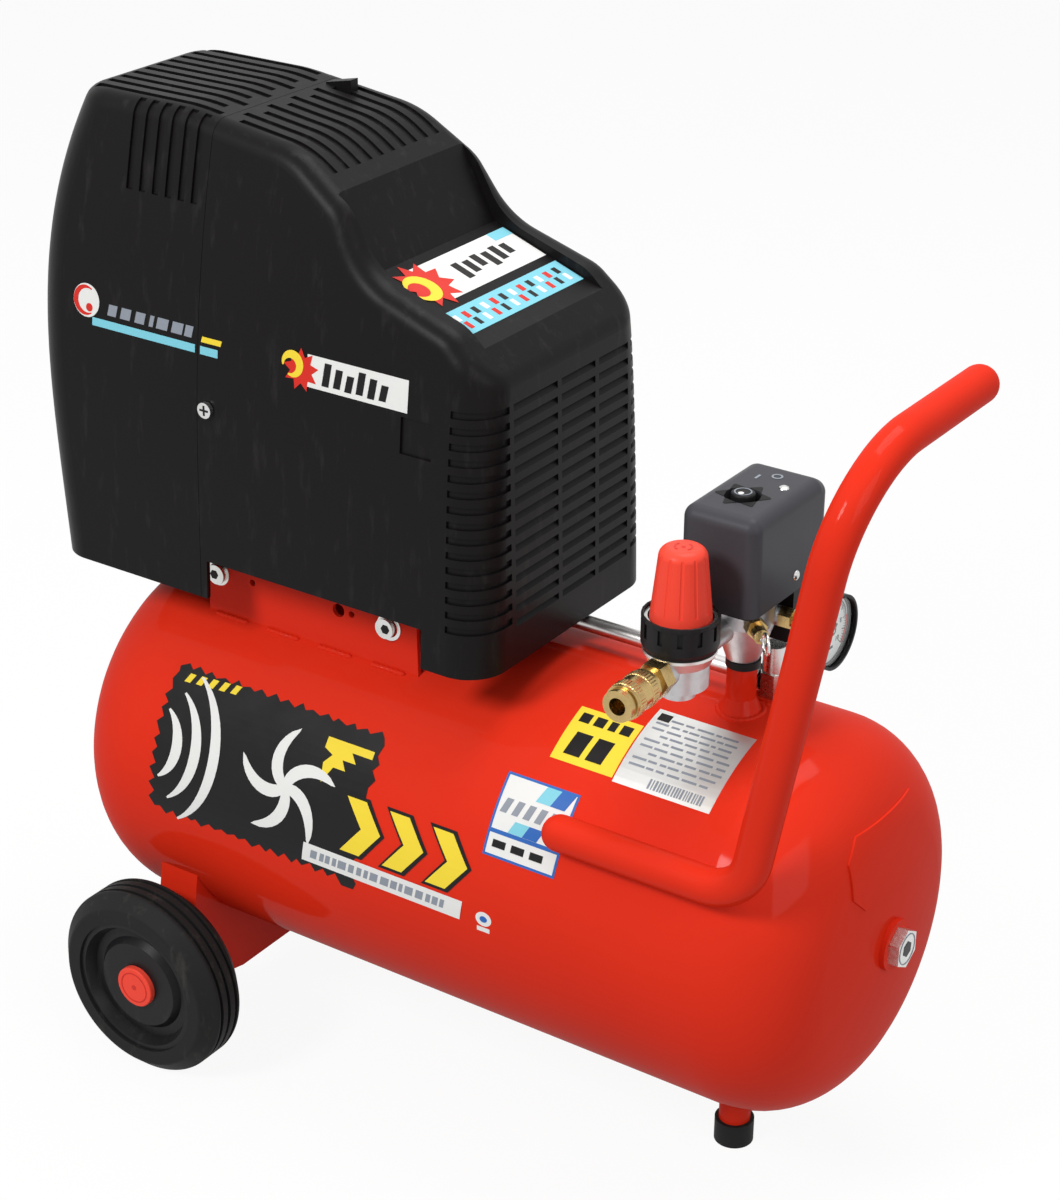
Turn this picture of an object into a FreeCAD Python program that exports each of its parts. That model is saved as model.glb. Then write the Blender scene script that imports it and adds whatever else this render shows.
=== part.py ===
"""Portable air compressor: a tank on two wheels and a foot, with a shrouded piston pump on top.

Frame, in millimetres: X runs along the tank's axis towards the handle end, Y across it, Z up.
The origin is on the floor, below the middle of the tank.
"""
import FreeCAD, Part
import math
import os

V = FreeCAD.Vector
AXIS_X = V(1, 0, 0)
AXIS_Y = V(0, 1, 0)
AXIS_Z = V(0, 0, 1)
TO_NEAR = V(0, -1, 0)
DOWN = V(0, 0, -1)

# ---------------------------------------------------------------- fits shared by every sub-part
RUNNING_FIT = 0.05      # radial clearance of a shaft that turns or slides in its hole
SEAT_GAP = 0.2          # between round faces that rest on each other

# ---------------------------------------------------------------- tank
TANK_RADIUS = 123.0
TANK_AXIS_Z = 182.3
TANK_HALF_BARREL = 209.7
TANK_KNUCKLE_RADIUS = 61.0
TANK_CROWN_RADIUS = 400.0
TANK_WALL = 2.0

# ---------------------------------------------------------------- bosses welded on the tank
RISER_X = 168.0
RISER_RADIUS = 9.0
RISER_BORE = 6.0
RISER_HEIGHT = 32.0
RISER_FLARE = 13.0
RISER_FLARE_HEIGHT = 9.0
CHECK_BOSS_RADIUS = 10.0
CHECK_BOSS_HEIGHT = 1.5
DRAIN_BOSS_RADIUS = 12.0
DRAIN_BOSS_HEIGHT = 4.0
HEAD_BOSS_RADIUS = 16.0
HEAD_BOSS_STAND = 3.0
WELD_OVERLAP = 12.0     # how far a boss is made inside the tank's outline before it is trimmed
PLUG_FLATS = 22.0
PLUG_HEAD = 7.0
PLUG_THREAD = 8.0

# ---------------------------------------------------------------- painted plate on the right head
PLATE_THICKNESS = 1.2
PLATE_HALF_WIDTH = 45.0
PLATE_HALF_HEIGHT = 23.0
PLATE_CENTRE_RISE = 62.0
PLATE_CHAMFER = 12.0

# ---------------------------------------------------------------- front foot
FOOT_X = 178.0
FOOT_TUBE_RADIUS = 10.0
FOOT_CAP_RADIUS = 12.5
FOOT_CAP_HEIGHT = 16.0
FOOT_CAP_SOLE = 4.0

# ---------------------------------------------------------------- wheels and their bracket
WHEEL_X = -178.0
WHEEL_RADIUS = 64.5
WHEEL_WIDTH = 38.4
WHEEL_OUTER_Y = 161.6
TYRE_INNER_RADIUS = 46.0
TYRE_SHOULDER = 9.0
TREAD_GROOVES = 3
TREAD_GROOVE_WIDTH = 2.6
TREAD_GROOVE_DEPTH = 2.2
TREAD_GROOVE_PITCH = 7.0
RIM_LIP = 3.5
RIM_DISH = 9.0
RIM_WEB = 4.0
RIM_STEP_RADIUS = 33.0
HUB_RADIUS = 18.0
HUB_RECESS = 5.0
HUB_CAP_RADIUS = 14.0
HUB_CAP_THICKNESS = 4.0
AXLE_BOLT_RADIUS = 6.0
AXLE_HEAD_FLATS = 19.0
AXLE_HEAD_HEIGHT = 7.0
BRACKET_HALF_WIDTH = 15.0
BRACKET_SHEET = 3.0
BRACKET_BOTTOM_Z = 38.0
BRACKET_FLAT_HALF = 70.0
BRACKET_END_RISE = 10.0
BRACKET_END_TOP_Z = 98.0
BRACKET_WHEEL_GAP = 7.0

# ---------------------------------------------------------------- handle
HANDLE_RADIUS = 11.0
HANDLE_WALL = 2.0
HANDLE_ANGLE = 56.0     # round the tank from its top to the line the tube lies on
HANDLE_START_X = 116.0
HANDLE_FOOT_X = 237.0
HANDLE_TOP_X = 286.0
HANDLE_GRIP_Z = 525.0
HANDLE_GRIP_END_Y = 33.0
HANDLE_FOOT_BEND = 30.0
HANDLE_TOP_BEND = 62.0
HANDLE_WELD_WIDTH = 11.0
HANDLE_WELD_END_MARGIN = 14.0

# ---------------------------------------------------------------- saddle that carries the pump
SADDLE_LEFT_X = -189.0
SADDLE_RIGHT_X = -22.0
SADDLE_SLANT = 4.0
SADDLE_HALF_WIDTH = 56.0
SADDLE_TOP_Z = 350.0
SADDLE_SHEET = 3.0
SADDLE_BOLT_X = (-179.5, -47.0)
SADDLE_BOLT_Z = 320.0
SADDLE_BOLT_RADIUS = 4.0
SADDLE_BOLT_HEAD = 6.5
SADDLE_BOLT_HEAD_HEIGHT = 4.5
SADDLE_NUT_FLATS = 13.0
SADDLE_NUT_HEIGHT = 6.0
SADDLE_SMALL_HOLES_X = (-153.0, -75.0)
SADDLE_SMALL_HOLE = 2.2
SADDLE_CABLE_HOLE_X = -85.0
SADDLE_CABLE_HOLE = 4.5

# ---------------------------------------------------------------- shroud
SHROUD_BOTTOM_Z = 323.0
SHROUD_LEFT_X = -284.0
SHROUD_RIGHT_X = 48.0
SHROUD_HALF_WIDTH = 94.0
SHROUD_CORNER = 25.0
SHROUD_WALL = 3.0
SHROUD_TOP_Z = 620.0
SHROUD_EDGE = 13.0
# rise above the bottom, then how far the left end, the right end and a side stand in from there
SHROUD_LEVELS = (
    (0.0, 0.0, 0.0, 0.0),
    (75.0, -8.0, 1.0, 2.5),
    (145.0, -13.0, 2.5, 6.5),
    (200.0, -12.0, 4.0, 13.0),
    (250.0, -4.0, 6.0, 22.0),
    (300.0, 13.0, 8.0, 34.0),
)
# silhouette of the top from left to right: X, drop below the top, blend radius
SHROUD_CREST = (
    (-185.0, 0.0, 120.0),
    (-103.0, 11.0, 60.0),
    (-64.0, 37.0, 30.0),
    (-44.0, 72.0, 45.0),
    (17.0, 92.0, 28.0),
    (44.0, 117.0, 14.0),
)
SHROUD_SEAM_X = -162.5
SHROUD_SEAM_GAP = 0.3
SHROUD_LAP = 13.0
SHROUD_LAP_WALL = 2.0
RECESS_HALF_WIDTH = 61.0
# floor of the recess between the side rims: X and drop below the shroud's top
RECESS_FLOOR = ((-78.0, 22.0), (-70.0, 38.0), (-50.0, 75.0), (18.0, 99.0), (40.0, 106.0))
RECESS_CEILING = 60.0
NOTCH_LEFT_X = -157.5
NOTCH_RIGHT_X = 5.0
NOTCH_TOP_Z = 348.0
TAB_WIDTH = 22.0
TAB_THICKNESS = 3.0
TAB_REACH = 10.0
ROOF_GROOVES = 10
ROOF_GROOVE_PITCH = 11.0
ROOF_GROOVE_WIDTH = 5.0
ROOF_GROOVE_LEFT_X = -264.0
ROOF_GROOVE_SEAM_MARGINS = (4.0, 10.0)
ROOF_GROOVE_RIGHT_X = -84.0
GRILLE_X = -224.0
GRILLE_COUNT = 6
GRILLE_PITCH = 10.0
GRILLE_WIDTH = 5.0
GRILLE_DROP = 52.0
LOUVRE_ROWS = 15
LOUVRE_PITCH = 9.4
LOUVRE_HEIGHT = 4.4
LOUVRE_BOTTOM_Z = 351.0
LOUVRE_BARS_Y = (-59.0, -10.0, 30.0, 66.0)
LOUVRE_BAR_WIDTH = 4.0
LOUVRE_SLOPE = 1.2      # rise of a slot for each millimetre inwards, so that it hides the inside
GROOVE_DEPTH = 1.6
FIN_CORNER_REACH = 26.0
LEFT_FIN_BOTTOM_Z = 350.0
LEFT_FIN_ROWS = 20
LEFT_FIN_PITCH = 8.5
LEFT_FIN_HEIGHT = 4.0
SEAM_SCREW_Z = 448.0
SEAM_SCREW_SEAT = 0.4
SEAM_SCREW_OFFSET = 8.0
SEAM_SCREW_RADIUS = 2.0
SEAM_SCREW_HEAD = 5.0
SEAM_SCREW_HEAD_HEIGHT = 3.0
SEAM_SCREW_LENGTH = 14.0
CATCH_LEFT_X = -160.0
CATCH_RIGHT_X = -141.0
CATCH_NEAR_Y = 40.0
CATCH_FAR_Y = 47.0
CATCH_ROOT = 9.0
CATCH_LOW_Z = 617.5
CATCH_TOP_Z = 621.5
PANEL_X = -1.0
PANEL_Z = 465.0
PANEL_SIZE = 22.0

# ---------------------------------------------------------------- motor
MOTOR_AXIS_Z = 425.0
MOTOR_LEFT_X = -140.0
MOTOR_RIGHT_X = -50.0
MOTOR_RADIUS = 60.0
MOTOR_WALL = 4.0
SHIELD_THICKNESS = 4.0
SHIELD_VENTS = 6
SHIELD_VENT_RADIUS = 7.0
SHIELD_VENT_CIRCLE = 40.0
BEARING_OUTER = 14.0
BEARING_WIDTH = 8.0
STATOR_END_MARGIN = 12.0
STATOR_BORE = 34.0
STATOR_SLOTS = 12
STATOR_SLOT_WIDTH = 5.0
STATOR_SLOT_DEPTH = 10.0
AIR_GAP = 0.6
WINDING_INNER = 37.0
WINDING_OUTER = 51.0
WINDING_LENGTH = 8.0
SHAFT_RADIUS = 8.0
SHAFT_RIGHT_X = -4.0
FOOT_BLOCK_LENGTH = 16.0
FOOT_BLOCK_INSET = 6.0
FOOT_BLOCK_HALF_WIDTH = 44.0
MOUNT_HEIGHT = 8.0
MOUNT_RADIUS = 9.0
MOUNT_HALF_SPACING = 34.0
FAN_RIGHT_X = -6.0
FAN_WIDTH = 22.0
FAN_HUB_RADIUS = 15.0
FAN_RADIUS = 58.0
FAN_BLADES = 7
FAN_BLADE_THICKNESS = 2.5
FAN_BLADE_PITCH = 35.0
CAPACITOR_RADIUS = 17.5
CAPACITOR_LENGTH = 72.0
CAPACITOR_ANGLE = 40.0

# ---------------------------------------------------------------- pump
CASE_LEFT_X = -205.0
CASE_WALL = 4.0
CASE_HALF_WIDTH = 42.0
CASE_BOTTOM_Z = 375.0
CASE_TOP_Z = 482.0
CASE_FOOT_LENGTH = 20.0
PUMP_X = -185.0
CRANK_THROW = 10.0
CRANK_WEB_RADIUS = 22.0
CRANK_WEB_THICKNESS = 9.0
COUNTERWEIGHT_RADIUS = 34.0
CRANK_PIN_RADIUS = 9.0
CRANK_PIN_LENGTH = 15.0
ROD_LENGTH = 80.0
ROD_BIG_END = 16.0
ROD_THICKNESS = 12.0
ROD_SMALL_END = 8.5
ROD_SHANK_WIDTH = 11.0
GUDGEON_RADIUS = 5.0
GUDGEON_LENGTH = 26.0
PISTON_RADIUS = 30.0
PISTON_SKIRT_WALL = 3.6
PISTON_CROWN = 6.0
PISTON_SKIRT_BELOW = 6.0
PISTON_HEADROOM = 3.0
RING_GROOVE_WIDTH = 2.5
RING_GROOVE_DEPTH = 2.0
CYLINDER_WALL = 5.0
CYLINDER_TOP_GAP = 4.0
CYLINDER_FINS = 6
CYLINDER_FIN_RADIUS = 43.0
CYLINDER_FIN_THICKNESS = 2.5
VALVE_PLATE_THICKNESS = 3.0
VALVE_PORT_RADIUS = 5.0
HEAD_HALF_SIZE = 44.0
HEAD_BASE = 9.0
HEAD_FINS = 8
HEAD_FIN_HEIGHT = 15.0
HEAD_FIN_THICKNESS = 3.0
HEAD_BOLT_HEAD = 5.0
HEAD_BOLT_INSET = 7.0
FILTER_RADIUS = 15.0
FILTER_LENGTH = 34.0

# ---------------------------------------------------------------- delivery line
PIPE_RADIUS = 5.0
PIPE_WALL = 1.0
PIPE_Y = 24.0
PIPE_Z = 316.0
PIPE_DROP_X = -245.0
PIPE_BEND_TOP = 14.0
PIPE_BEND_BOTTOM = 25.0
NUT_FLATS = 15.0
NUT_LENGTH = 12.0
CHECK_X = 176.0
CHECK_RADIUS = 7.0
CHECK_FLATS = 15.0
CHECK_HEX_HEIGHT = 16.0
CHECK_TOP_Z = 340.0
UNLOADER_RADIUS = 2.0
UNLOADER_Z = 332.0
UNLOADER_Y = 44.0
UNLOADER_BEND = 5.0
UNLOADER_X = 157.0

# ---------------------------------------------------------------- pressure switch
SWITCH_LEFT_X = 143.0
SWITCH_RIGHT_X = 193.0
SWITCH_NEAR_Y = -36.0
SWITCH_FAR_Y = 49.0
SWITCH_BOTTOM_Z = 383.5
SWITCH_TOP_Z = 443.0
SWITCH_FAR_SLOPE = 9.0
SWITCH_FAR_DROP = 5.0
SWITCH_WALL = 2.5
SWITCH_EDGE = 8.0
BASE_INSET = 2.0
BASE_PLATE = 5.0
BASE_BLOCK_Y = 19.0
BASE_BLOCK_BOTTOM_Z = 346.0
BASE_BLOCK_INSET = 4.0
SWITCH_WELL_X = 166.0
SWITCH_WELL_Y = -5.0
SWITCH_WELL_RADIUS = 11.0
SWITCH_WELL_DEPTH = 9.0
SWITCH_KNOB_RADIUS = 7.0
SWITCH_KNOB_HEIGHT = 11.0
SWITCH_STEM_RADIUS = 3.0
SWITCH_STEM_REACH = 14.0
SWITCH_KNOB_TRAVEL = 8.0
GLAND_X = (157.0, 179.0)
GLAND_Z = 364.0
GLAND_RADIUS = 8.0
GLAND_NOSE = 6.4
GLAND_LENGTH = 12.0
GLAND_BORE = 4.0

# ---------------------------------------------------------------- manifold, relief valve and gauge
MANIFOLD_TOP_RADIUS = 18.0
MANIFOLD_CONE_TOP_Z = 364.0
MANIFOLD_ARM_RADIUS = 7.5
MANIFOLD_PAD = 1.0
PORT_Z = 362.0
RELIEF_ANGLE = -45.0
RELIEF_Z = 370.0
RELIEF_FLATS = 11.0
RELIEF_HEX = 8.0
RELIEF_BODY_RADIUS = 4.5
RELIEF_BODY = 9.0
RELIEF_STEM_RADIUS = 1.6
RELIEF_RING_RADIUS = 6.0
RELIEF_RING_WIRE = 1.0
RELIEF_TRAVEL = 3.0
GAUGE_Z = 367.0
GAUGE_Y = 10.0
GAUGE_BACK_X = 209.0
GAUGE_DEPTH = 15.0
GAUGE_GLASS_SEAT = 12.0
GAUGE_RADIUS = 22.5
GAUGE_WALL = 1.6
GAUGE_FLOOR = 8.0
GAUGE_BEZEL = 1.0
GAUGE_GLASS = 1.2
GAUGE_DIAL = 0.8
GAUGE_STEM_RADIUS = 4.5
GAUGE_STEM_FLATS = 12.0
POINTER_LENGTH = 16.5
POINTER_TAIL = 5.0
POINTER_THICKNESS = 0.8
POINTER_HUB = 2.6
POINTER_PIN = 1.0
POINTER_LIFT = 1.4
POINTER_REST = 135.0

# ---------------------------------------------------------------- regulator and coupler
REGULATOR_X = 163.0
REGULATOR_Y = -64.0
REGULATOR_RADIUS = 17.0
REGULATOR_BOTTOM_Z = 349.0
REGULATOR_TOP_Z = 372.0
REGULATOR_BOSS = 10.0
REGULATOR_PORT = 9.0
REGULATOR_BOSS_HEIGHT = 7.0
BONNET_RADIUS = 22.3
BONNET_HEIGHT = 18.0
BONNET_WALL = 3.5
BONNET_LUGS = 12
BONNET_LUG_WIDTH = 3.0
BONNET_LUG_DEPTH = 1.5
BONNET_SEAT = 14.0
KNOB_BASE_RADIUS = 17.8
KNOB_TOP_RADIUS = 13.3
KNOB_HEIGHT = 43.0
KNOB_WALL = 2.5
KNOB_FLUTES = 12
KNOB_FLUTE_RADIUS = 1.4
KNOB_EDGE = 6.0
KNOB_STEM_RADIUS = 4.0
KNOB_GAP = 0.6
SPRING_RADIUS = 8.0
SPRING_WIRE = 1.2
SPRING_TURNS = 4
COUPLER_START_Y = -85.0
COUPLER_HEX = 9.0
COUPLER_FLATS = 19.0
COUPLER_BODY_RADIUS = 7.8
COUPLER_SLEEVE_RADIUS = 10.5
COUPLER_SLEEVE_MARGIN = 1.0
COUPLER_SLEEVE_LENGTH = 24.0
COUPLER_TRAVEL = 5.0
COUPLER_LIP_RADIUS = 9.4
COUPLER_LIP = 5.0
COUPLER_BORE = 5.2
COUPLER_BORE_DEPTH = 22.0

# ---------------------------------------------------------------- drain cock
DRAIN_FLATS = 17.0
DRAIN_HEX = 8.0
DRAIN_STEM_RADIUS = 3.0
DRAIN_BODY_RADIUS = 6.0
DRAIN_BODY = 6.0
DRAIN_WING_SPAN = 24.0
DRAIN_WING_THICKNESS = 3.0
DRAIN_WING_HEIGHT = 10.0
DRAIN_GAP = 1.0

# ---------------------------------------------------------------- values that follow
TANK_TOP_Z = TANK_AXIS_Z + TANK_RADIUS
TANK_BOTTOM_Z = TANK_AXIS_Z - TANK_RADIUS
CROWN_RUN = TANK_CROWN_RADIUS - TANK_KNUCKLE_RADIUS
KNUCKLE_CENTRE = TANK_RADIUS - TANK_KNUCKLE_RADIUS
TANK_HEAD_DEPTH = TANK_CROWN_RADIUS - math.sqrt(CROWN_RUN ** 2 - KNUCKLE_CENTRE ** 2)
HEAD_TIP_X = TANK_HALF_BARREL + TANK_HEAD_DEPTH
RISER_TOP_Z = TANK_TOP_Z + RISER_HEIGHT
WHEEL_INNER_Y = WHEEL_OUTER_Y - WHEEL_WIDTH
BRACKET_END_Y = WHEEL_INNER_Y - BRACKET_WHEEL_GAP
HUB_INNER_Y = BRACKET_END_Y + 2 * RUNNING_FIT
HUB_FACE_Y = WHEEL_OUTER_Y - HUB_RECESS
CASE_RIGHT_X = MOTOR_LEFT_X - SHIELD_THICKNESS
SHIELD_RIGHT_X = MOTOR_RIGHT_X + SHIELD_THICKNESS
CRANK_PIN_Z = MOTOR_AXIS_Z - CRANK_THROW
GUDGEON_Z = CRANK_PIN_Z + ROD_LENGTH
STROKE = 2 * CRANK_THROW
PISTON_CROWN_Z = GUDGEON_Z + ROD_SMALL_END + STROKE + PISTON_HEADROOM
PISTON_TOP_Z = PISTON_CROWN_Z + PISTON_CROWN
CYLINDER_TOP_Z = PISTON_TOP_Z + STROKE + CYLINDER_TOP_GAP
HEAD_Z = CYLINDER_TOP_Z + VALVE_PLATE_THICKNESS
COVER_SEAT_Z = SWITCH_BOTTOM_Z + BASE_PLATE
MANIFOLD_REACH = MANIFOLD_TOP_RADIUS + MANIFOLD_PAD
RELIEF_WAY = V(math.cos(math.radians(RELIEF_ANGLE)), math.sin(math.radians(RELIEF_ANGLE)), 0)


# ================================================================ small tools for solids
def save(name, *shapes):
    """Write one sub-part to its own file."""
    shape = shapes[0] if len(shapes) == 1 else Part.makeCompound(list(shapes))
    shape.exportStep("parts/" + name + ".step")


def block(x0, x1, y0, y1, z0, z1):
    """Box between two corners."""
    return Part.makeBox(x1 - x0, y1 - y0, z1 - z0, V(x0, y0, z0))


def rod(start, direction, radius, length):
    """Round bar that begins at start."""
    return Part.makeCylinder(radius, length, start, direction)


def ring(start, direction, outer, inner, length):
    """Round tube that begins at start."""
    return rod(start, direction, outer, length).cut(rod(start, direction, inner, length))


def place(shape, start, direction):
    """Turn a shape made along +Z so that it begins at start and runs along direction."""
    shape.Placement = FreeCAD.Placement(start, FreeCAD.Rotation(AXIS_Z, direction))
    return shape


def turned(profile, start, direction):
    """Solid of revolution from (radius, height) corners, measured from start along direction."""
    corners = [V(radius, 0, height) for radius, height in profile]
    face = Part.Face(Part.makePolygon(corners + corners[:1]))
    return place(face.revolve(V(0, 0, 0), AXIS_Z, 360), start, direction)


def hexagon(start, direction, flats, length):
    """Hexagonal bar, sized across its flats."""
    reach = flats / math.sqrt(3)
    corners = [V(reach * math.cos(math.radians(60 * i)), reach * math.sin(math.radians(60 * i)), 0)
               for i in range(6)]
    face = Part.Face(Part.makePolygon(corners + corners[:1]))
    return place(face.extrude(AXIS_Z * length), start, direction)


def prism_yz(corners, x0, x1):
    """Straight-sided outline in the YZ plane, extruded along X."""
    points = [V(x0, y, z) for y, z in corners]
    return Part.Face(Part.makePolygon(points + points[:1])).extrude(AXIS_X * (x1 - x0))


def prism_xz(corners, half_width):
    """Straight-sided outline in the XZ plane, extruded across the middle plane."""
    points = [V(x, -half_width, z) for x, z in corners]
    return Part.Face(Part.makePolygon(points + points[:1])).extrude(AXIS_Y * (2 * half_width))


def blended_path(points, radii):
    """Straight runs through the points, joined by tangent arcs at the inner ones."""
    edges = []
    last = points[0]
    for i in range(1, len(points) - 1):
        back = (points[i - 1] - points[i]).normalize()
        ahead = (points[i + 1] - points[i]).normalize()
        half = back.getAngle(ahead) / 2
        reach = radii[i - 1] / math.tan(half)
        middle = (back + ahead).normalize()
        centre = points[i] + middle * (radii[i - 1] / math.sin(half))
        start = points[i] + back * reach
        end = points[i] + ahead * reach
        edges.append(Part.LineSegment(last, start).toShape())
        edges.append(Part.Arc(start, centre - middle * radii[i - 1], end).toShape())
        last = end
    edges.append(Part.LineSegment(last, points[-1]).toShape())
    return Part.Wire(edges)


def bent_bar(points, radii, radius):
    """Round bar along a path of straight runs and arcs."""
    path = blended_path(points, radii)
    circle = Part.Wire(Part.Circle(points[0], points[1] - points[0], radius).toShape())
    return path.makePipeShell([circle], True, True)


def round_array(shape, centre, axis, count):
    """Copies of a shape evenly spaced about an axis."""
    copies = []
    for i in range(count):
        copy = shape.copy()
        copy.rotate(centre, axis, 360.0 * i / count)
        copies.append(copy)
    return copies


# ================================================================ tank and frame
def crown_angle():
    """Angle from the tank's axis at which a head's crown meets its knuckle."""
    return math.asin((TANK_RADIUS - TANK_KNUCKLE_RADIUS) / (TANK_CROWN_RADIUS - TANK_KNUCKLE_RADIUS))


def tank_outline(inset):
    """Solid inside the tank's surface, moved inwards by inset; its heads are two arcs each."""
    knuckle = TANK_KNUCKLE_RADIUS - inset
    crown = TANK_CROWN_RADIUS - inset
    knuckle_height = TANK_RADIUS - TANK_KNUCKLE_RADIUS
    angle = crown_angle()
    crown_x = HEAD_TIP_X - TANK_CROWN_RADIUS

    def on_knuckle(turn):
        return V(TANK_HALF_BARREL + knuckle * math.cos(turn), 0,
                 TANK_AXIS_Z + knuckle_height + knuckle * math.sin(turn))

    def on_crown(turn):
        return V(crown_x + crown * math.cos(turn), 0, TANK_AXIS_Z + crown * math.sin(turn))

    head = [Part.Arc(on_knuckle(math.pi / 2), on_knuckle((math.pi / 2 + angle) / 2),
                     on_knuckle(angle)).toShape(),
            Part.Arc(on_crown(angle), on_crown(angle / 2), on_crown(0)).toShape()]
    other = [edge.mirror(V(0, 0, 0), AXIS_X) for edge in head]
    top = on_knuckle(math.pi / 2)
    tip = on_crown(0)
    lines = [Part.LineSegment(V(-top.x, 0, top.z), top).toShape(),
             Part.LineSegment(tip, V(-tip.x, 0, tip.z)).toShape()]
    wire = Part.Wire(Part.__sortEdges__(head + other + lines))
    return Part.Face(wire).revolve(V(0, 0, TANK_AXIS_Z), AXIS_X, 360)


TANK_SOLID = tank_outline(0)


def tank_ports():
    """Holes where air and condensate leave or enter the tank."""
    reach = 4 * TANK_WALL
    ports = [
        rod(V(RISER_X, 0, TANK_TOP_Z - reach), AXIS_Z, RISER_BORE, 2 * reach),
        rod(V(CHECK_X, PIPE_Y, TANK_TOP_Z - 2 * reach), AXIS_Z, RISER_BORE, 3 * reach),
        rod(V(0, 0, TANK_BOTTOM_Z - reach), AXIS_Z, DRAIN_STEM_RADIUS, 2 * reach),
    ]
    for side in (-1, 1):
        start = V(side * (HEAD_TIP_X - reach), 0, TANK_AXIS_Z)
        ports.append(rod(start, AXIS_X * side, PLUG_THREAD, 2 * reach))
    return ports


def make_tank():
    shell = TANK_SOLID.cut([tank_outline(TANK_WALL)])
    save("tank_shell", shell.cut(tank_ports()))


def make_bosses():
    """Threaded bosses welded on the tank: outlet riser, check valve, drain and head plugs."""
    riser = turned(((RISER_BORE, -WELD_OVERLAP), (RISER_FLARE + WELD_OVERLAP / 2, -WELD_OVERLAP / 2),
                    (RISER_FLARE, 0), (RISER_RADIUS, RISER_FLARE_HEIGHT),
                    (RISER_RADIUS, RISER_HEIGHT), (RISER_BORE, RISER_HEIGHT)),
                   V(RISER_X, 0, TANK_TOP_Z), AXIS_Z)
    check = ring(V(CHECK_X, PIPE_Y, TANK_TOP_Z - WELD_OVERLAP), AXIS_Z, CHECK_BOSS_RADIUS,
                 RISER_BORE, WELD_OVERLAP + CHECK_BOSS_HEIGHT)
    drain = ring(V(0, 0, TANK_BOTTOM_Z + WELD_OVERLAP), DOWN, DRAIN_BOSS_RADIUS,
                 DRAIN_STEM_RADIUS, WELD_OVERLAP + DRAIN_BOSS_HEIGHT)
    heads = []
    for side in (-1, 1):
        start = V(side * (HEAD_TIP_X - WELD_OVERLAP), 0, TANK_AXIS_Z)
        heads.append(ring(start, AXIS_X * side, HEAD_BOSS_RADIUS, PLUG_THREAD,
                          WELD_OVERLAP + HEAD_BOSS_STAND))
    save("tank_bosses", *[boss.cut(TANK_SOLID) for boss in [riser, check, drain] + heads])


def make_plugs():
    """Inspection plugs in the two heads."""
    plugs = []
    for side in (-1, 1):
        face = V(side * (HEAD_TIP_X + HEAD_BOSS_STAND), 0, TANK_AXIS_Z)
        head = hexagon(face, AXIS_X * side, PLUG_FLATS, PLUG_HEAD)
        thread = rod(face, AXIS_X * -side, PLUG_THREAD, HEAD_BOSS_STAND + TANK_WALL)
        plugs.append(head.fuse(thread).removeSplitter())
    save("inspection_plugs", *plugs)


def make_data_plate():
    """Blank plate with cut corners, curved to the right head."""
    middle = TANK_AXIS_Z + PLATE_CENTRE_RISE
    wide = PLATE_HALF_WIDTH
    high = PLATE_HALF_HEIGHT
    cut = PLATE_CHAMFER
    outline = ((-wide + cut, middle - high), (wide - cut, middle - high), (wide, middle - high + cut),
               (wide, middle + high - cut), (wide - cut, middle + high), (-wide + cut, middle + high),
               (-wide, middle + high - cut), (-wide, middle - high + cut))
    skin = tank_outline(-PLATE_THICKNESS).cut(TANK_SOLID)
    column = prism_yz(outline, TANK_HALF_BARREL, HEAD_TIP_X + 2 * PLATE_THICKNESS)
    save("data_plate", skin.common(column))


def make_foot():
    start = V(FOOT_X, 0, FOOT_CAP_SOLE)
    tube = rod(start, AXIS_Z, FOOT_TUBE_RADIUS, TANK_AXIS_Z - FOOT_CAP_SOLE).cut(TANK_SOLID)
    cap = rod(V(FOOT_X, 0, 0), AXIS_Z, FOOT_CAP_RADIUS, FOOT_CAP_HEIGHT)
    save("front_foot_tube", tube)
    save("front_foot_cap", cap.cut(rod(start, AXIS_Z, FOOT_TUBE_RADIUS, FOOT_CAP_HEIGHT)))


def bracket_outline(sheet):
    """Half-open outline of the wheel bracket in the YZ plane, inset by the sheet's thickness."""
    end = BRACKET_END_Y - sheet
    low = BRACKET_BOTTOM_Z + sheet
    rise = low + BRACKET_END_RISE
    top = BRACKET_END_TOP_Z
    flat = BRACKET_FLAT_HALF
    inner = end - 2 * BRACKET_WHEEL_GAP
    return ((-flat, low), (flat, low), (end, rise), (end, top), (inner, TANK_AXIS_Z),
            (-inner, TANK_AXIS_Z), (-end, top), (-end, rise))


def make_axle_bracket():
    """Folded sheet channel welded under the tank, with an upturned end for each wheel."""
    x0 = WHEEL_X - BRACKET_HALF_WIDTH
    x1 = WHEEL_X + BRACKET_HALF_WIDTH
    outer = prism_yz(bracket_outline(0), x0, x1)
    hollow = prism_yz(bracket_outline(BRACKET_SHEET), x0 + BRACKET_SHEET, x1 - BRACKET_SHEET)
    hole = rod(V(WHEEL_X, -WHEEL_OUTER_Y, WHEEL_RADIUS), AXIS_Y, AXLE_BOLT_RADIUS, 2 * WHEEL_OUTER_Y)
    save("axle_bracket", outer.cut([hollow, TANK_SOLID, hole]))


def make_axle_bolts():
    """A fixed bolt for each wheel, its head inside the bracket."""
    bolts = []
    for side in (-1, 1):
        outward = AXIS_Y * side
        seat = V(WHEEL_X, side * (BRACKET_END_Y - BRACKET_SHEET), WHEEL_RADIUS)
        length = HUB_FACE_Y - BRACKET_END_Y + BRACKET_SHEET
        shank = rod(seat, outward, AXLE_BOLT_RADIUS, length)
        head = hexagon(seat, AXIS_Y * -side, AXLE_HEAD_FLATS, AXLE_HEAD_HEIGHT)
        bolts.append(shank.fuse(head))
    save("axle_bolts", *bolts)


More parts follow.
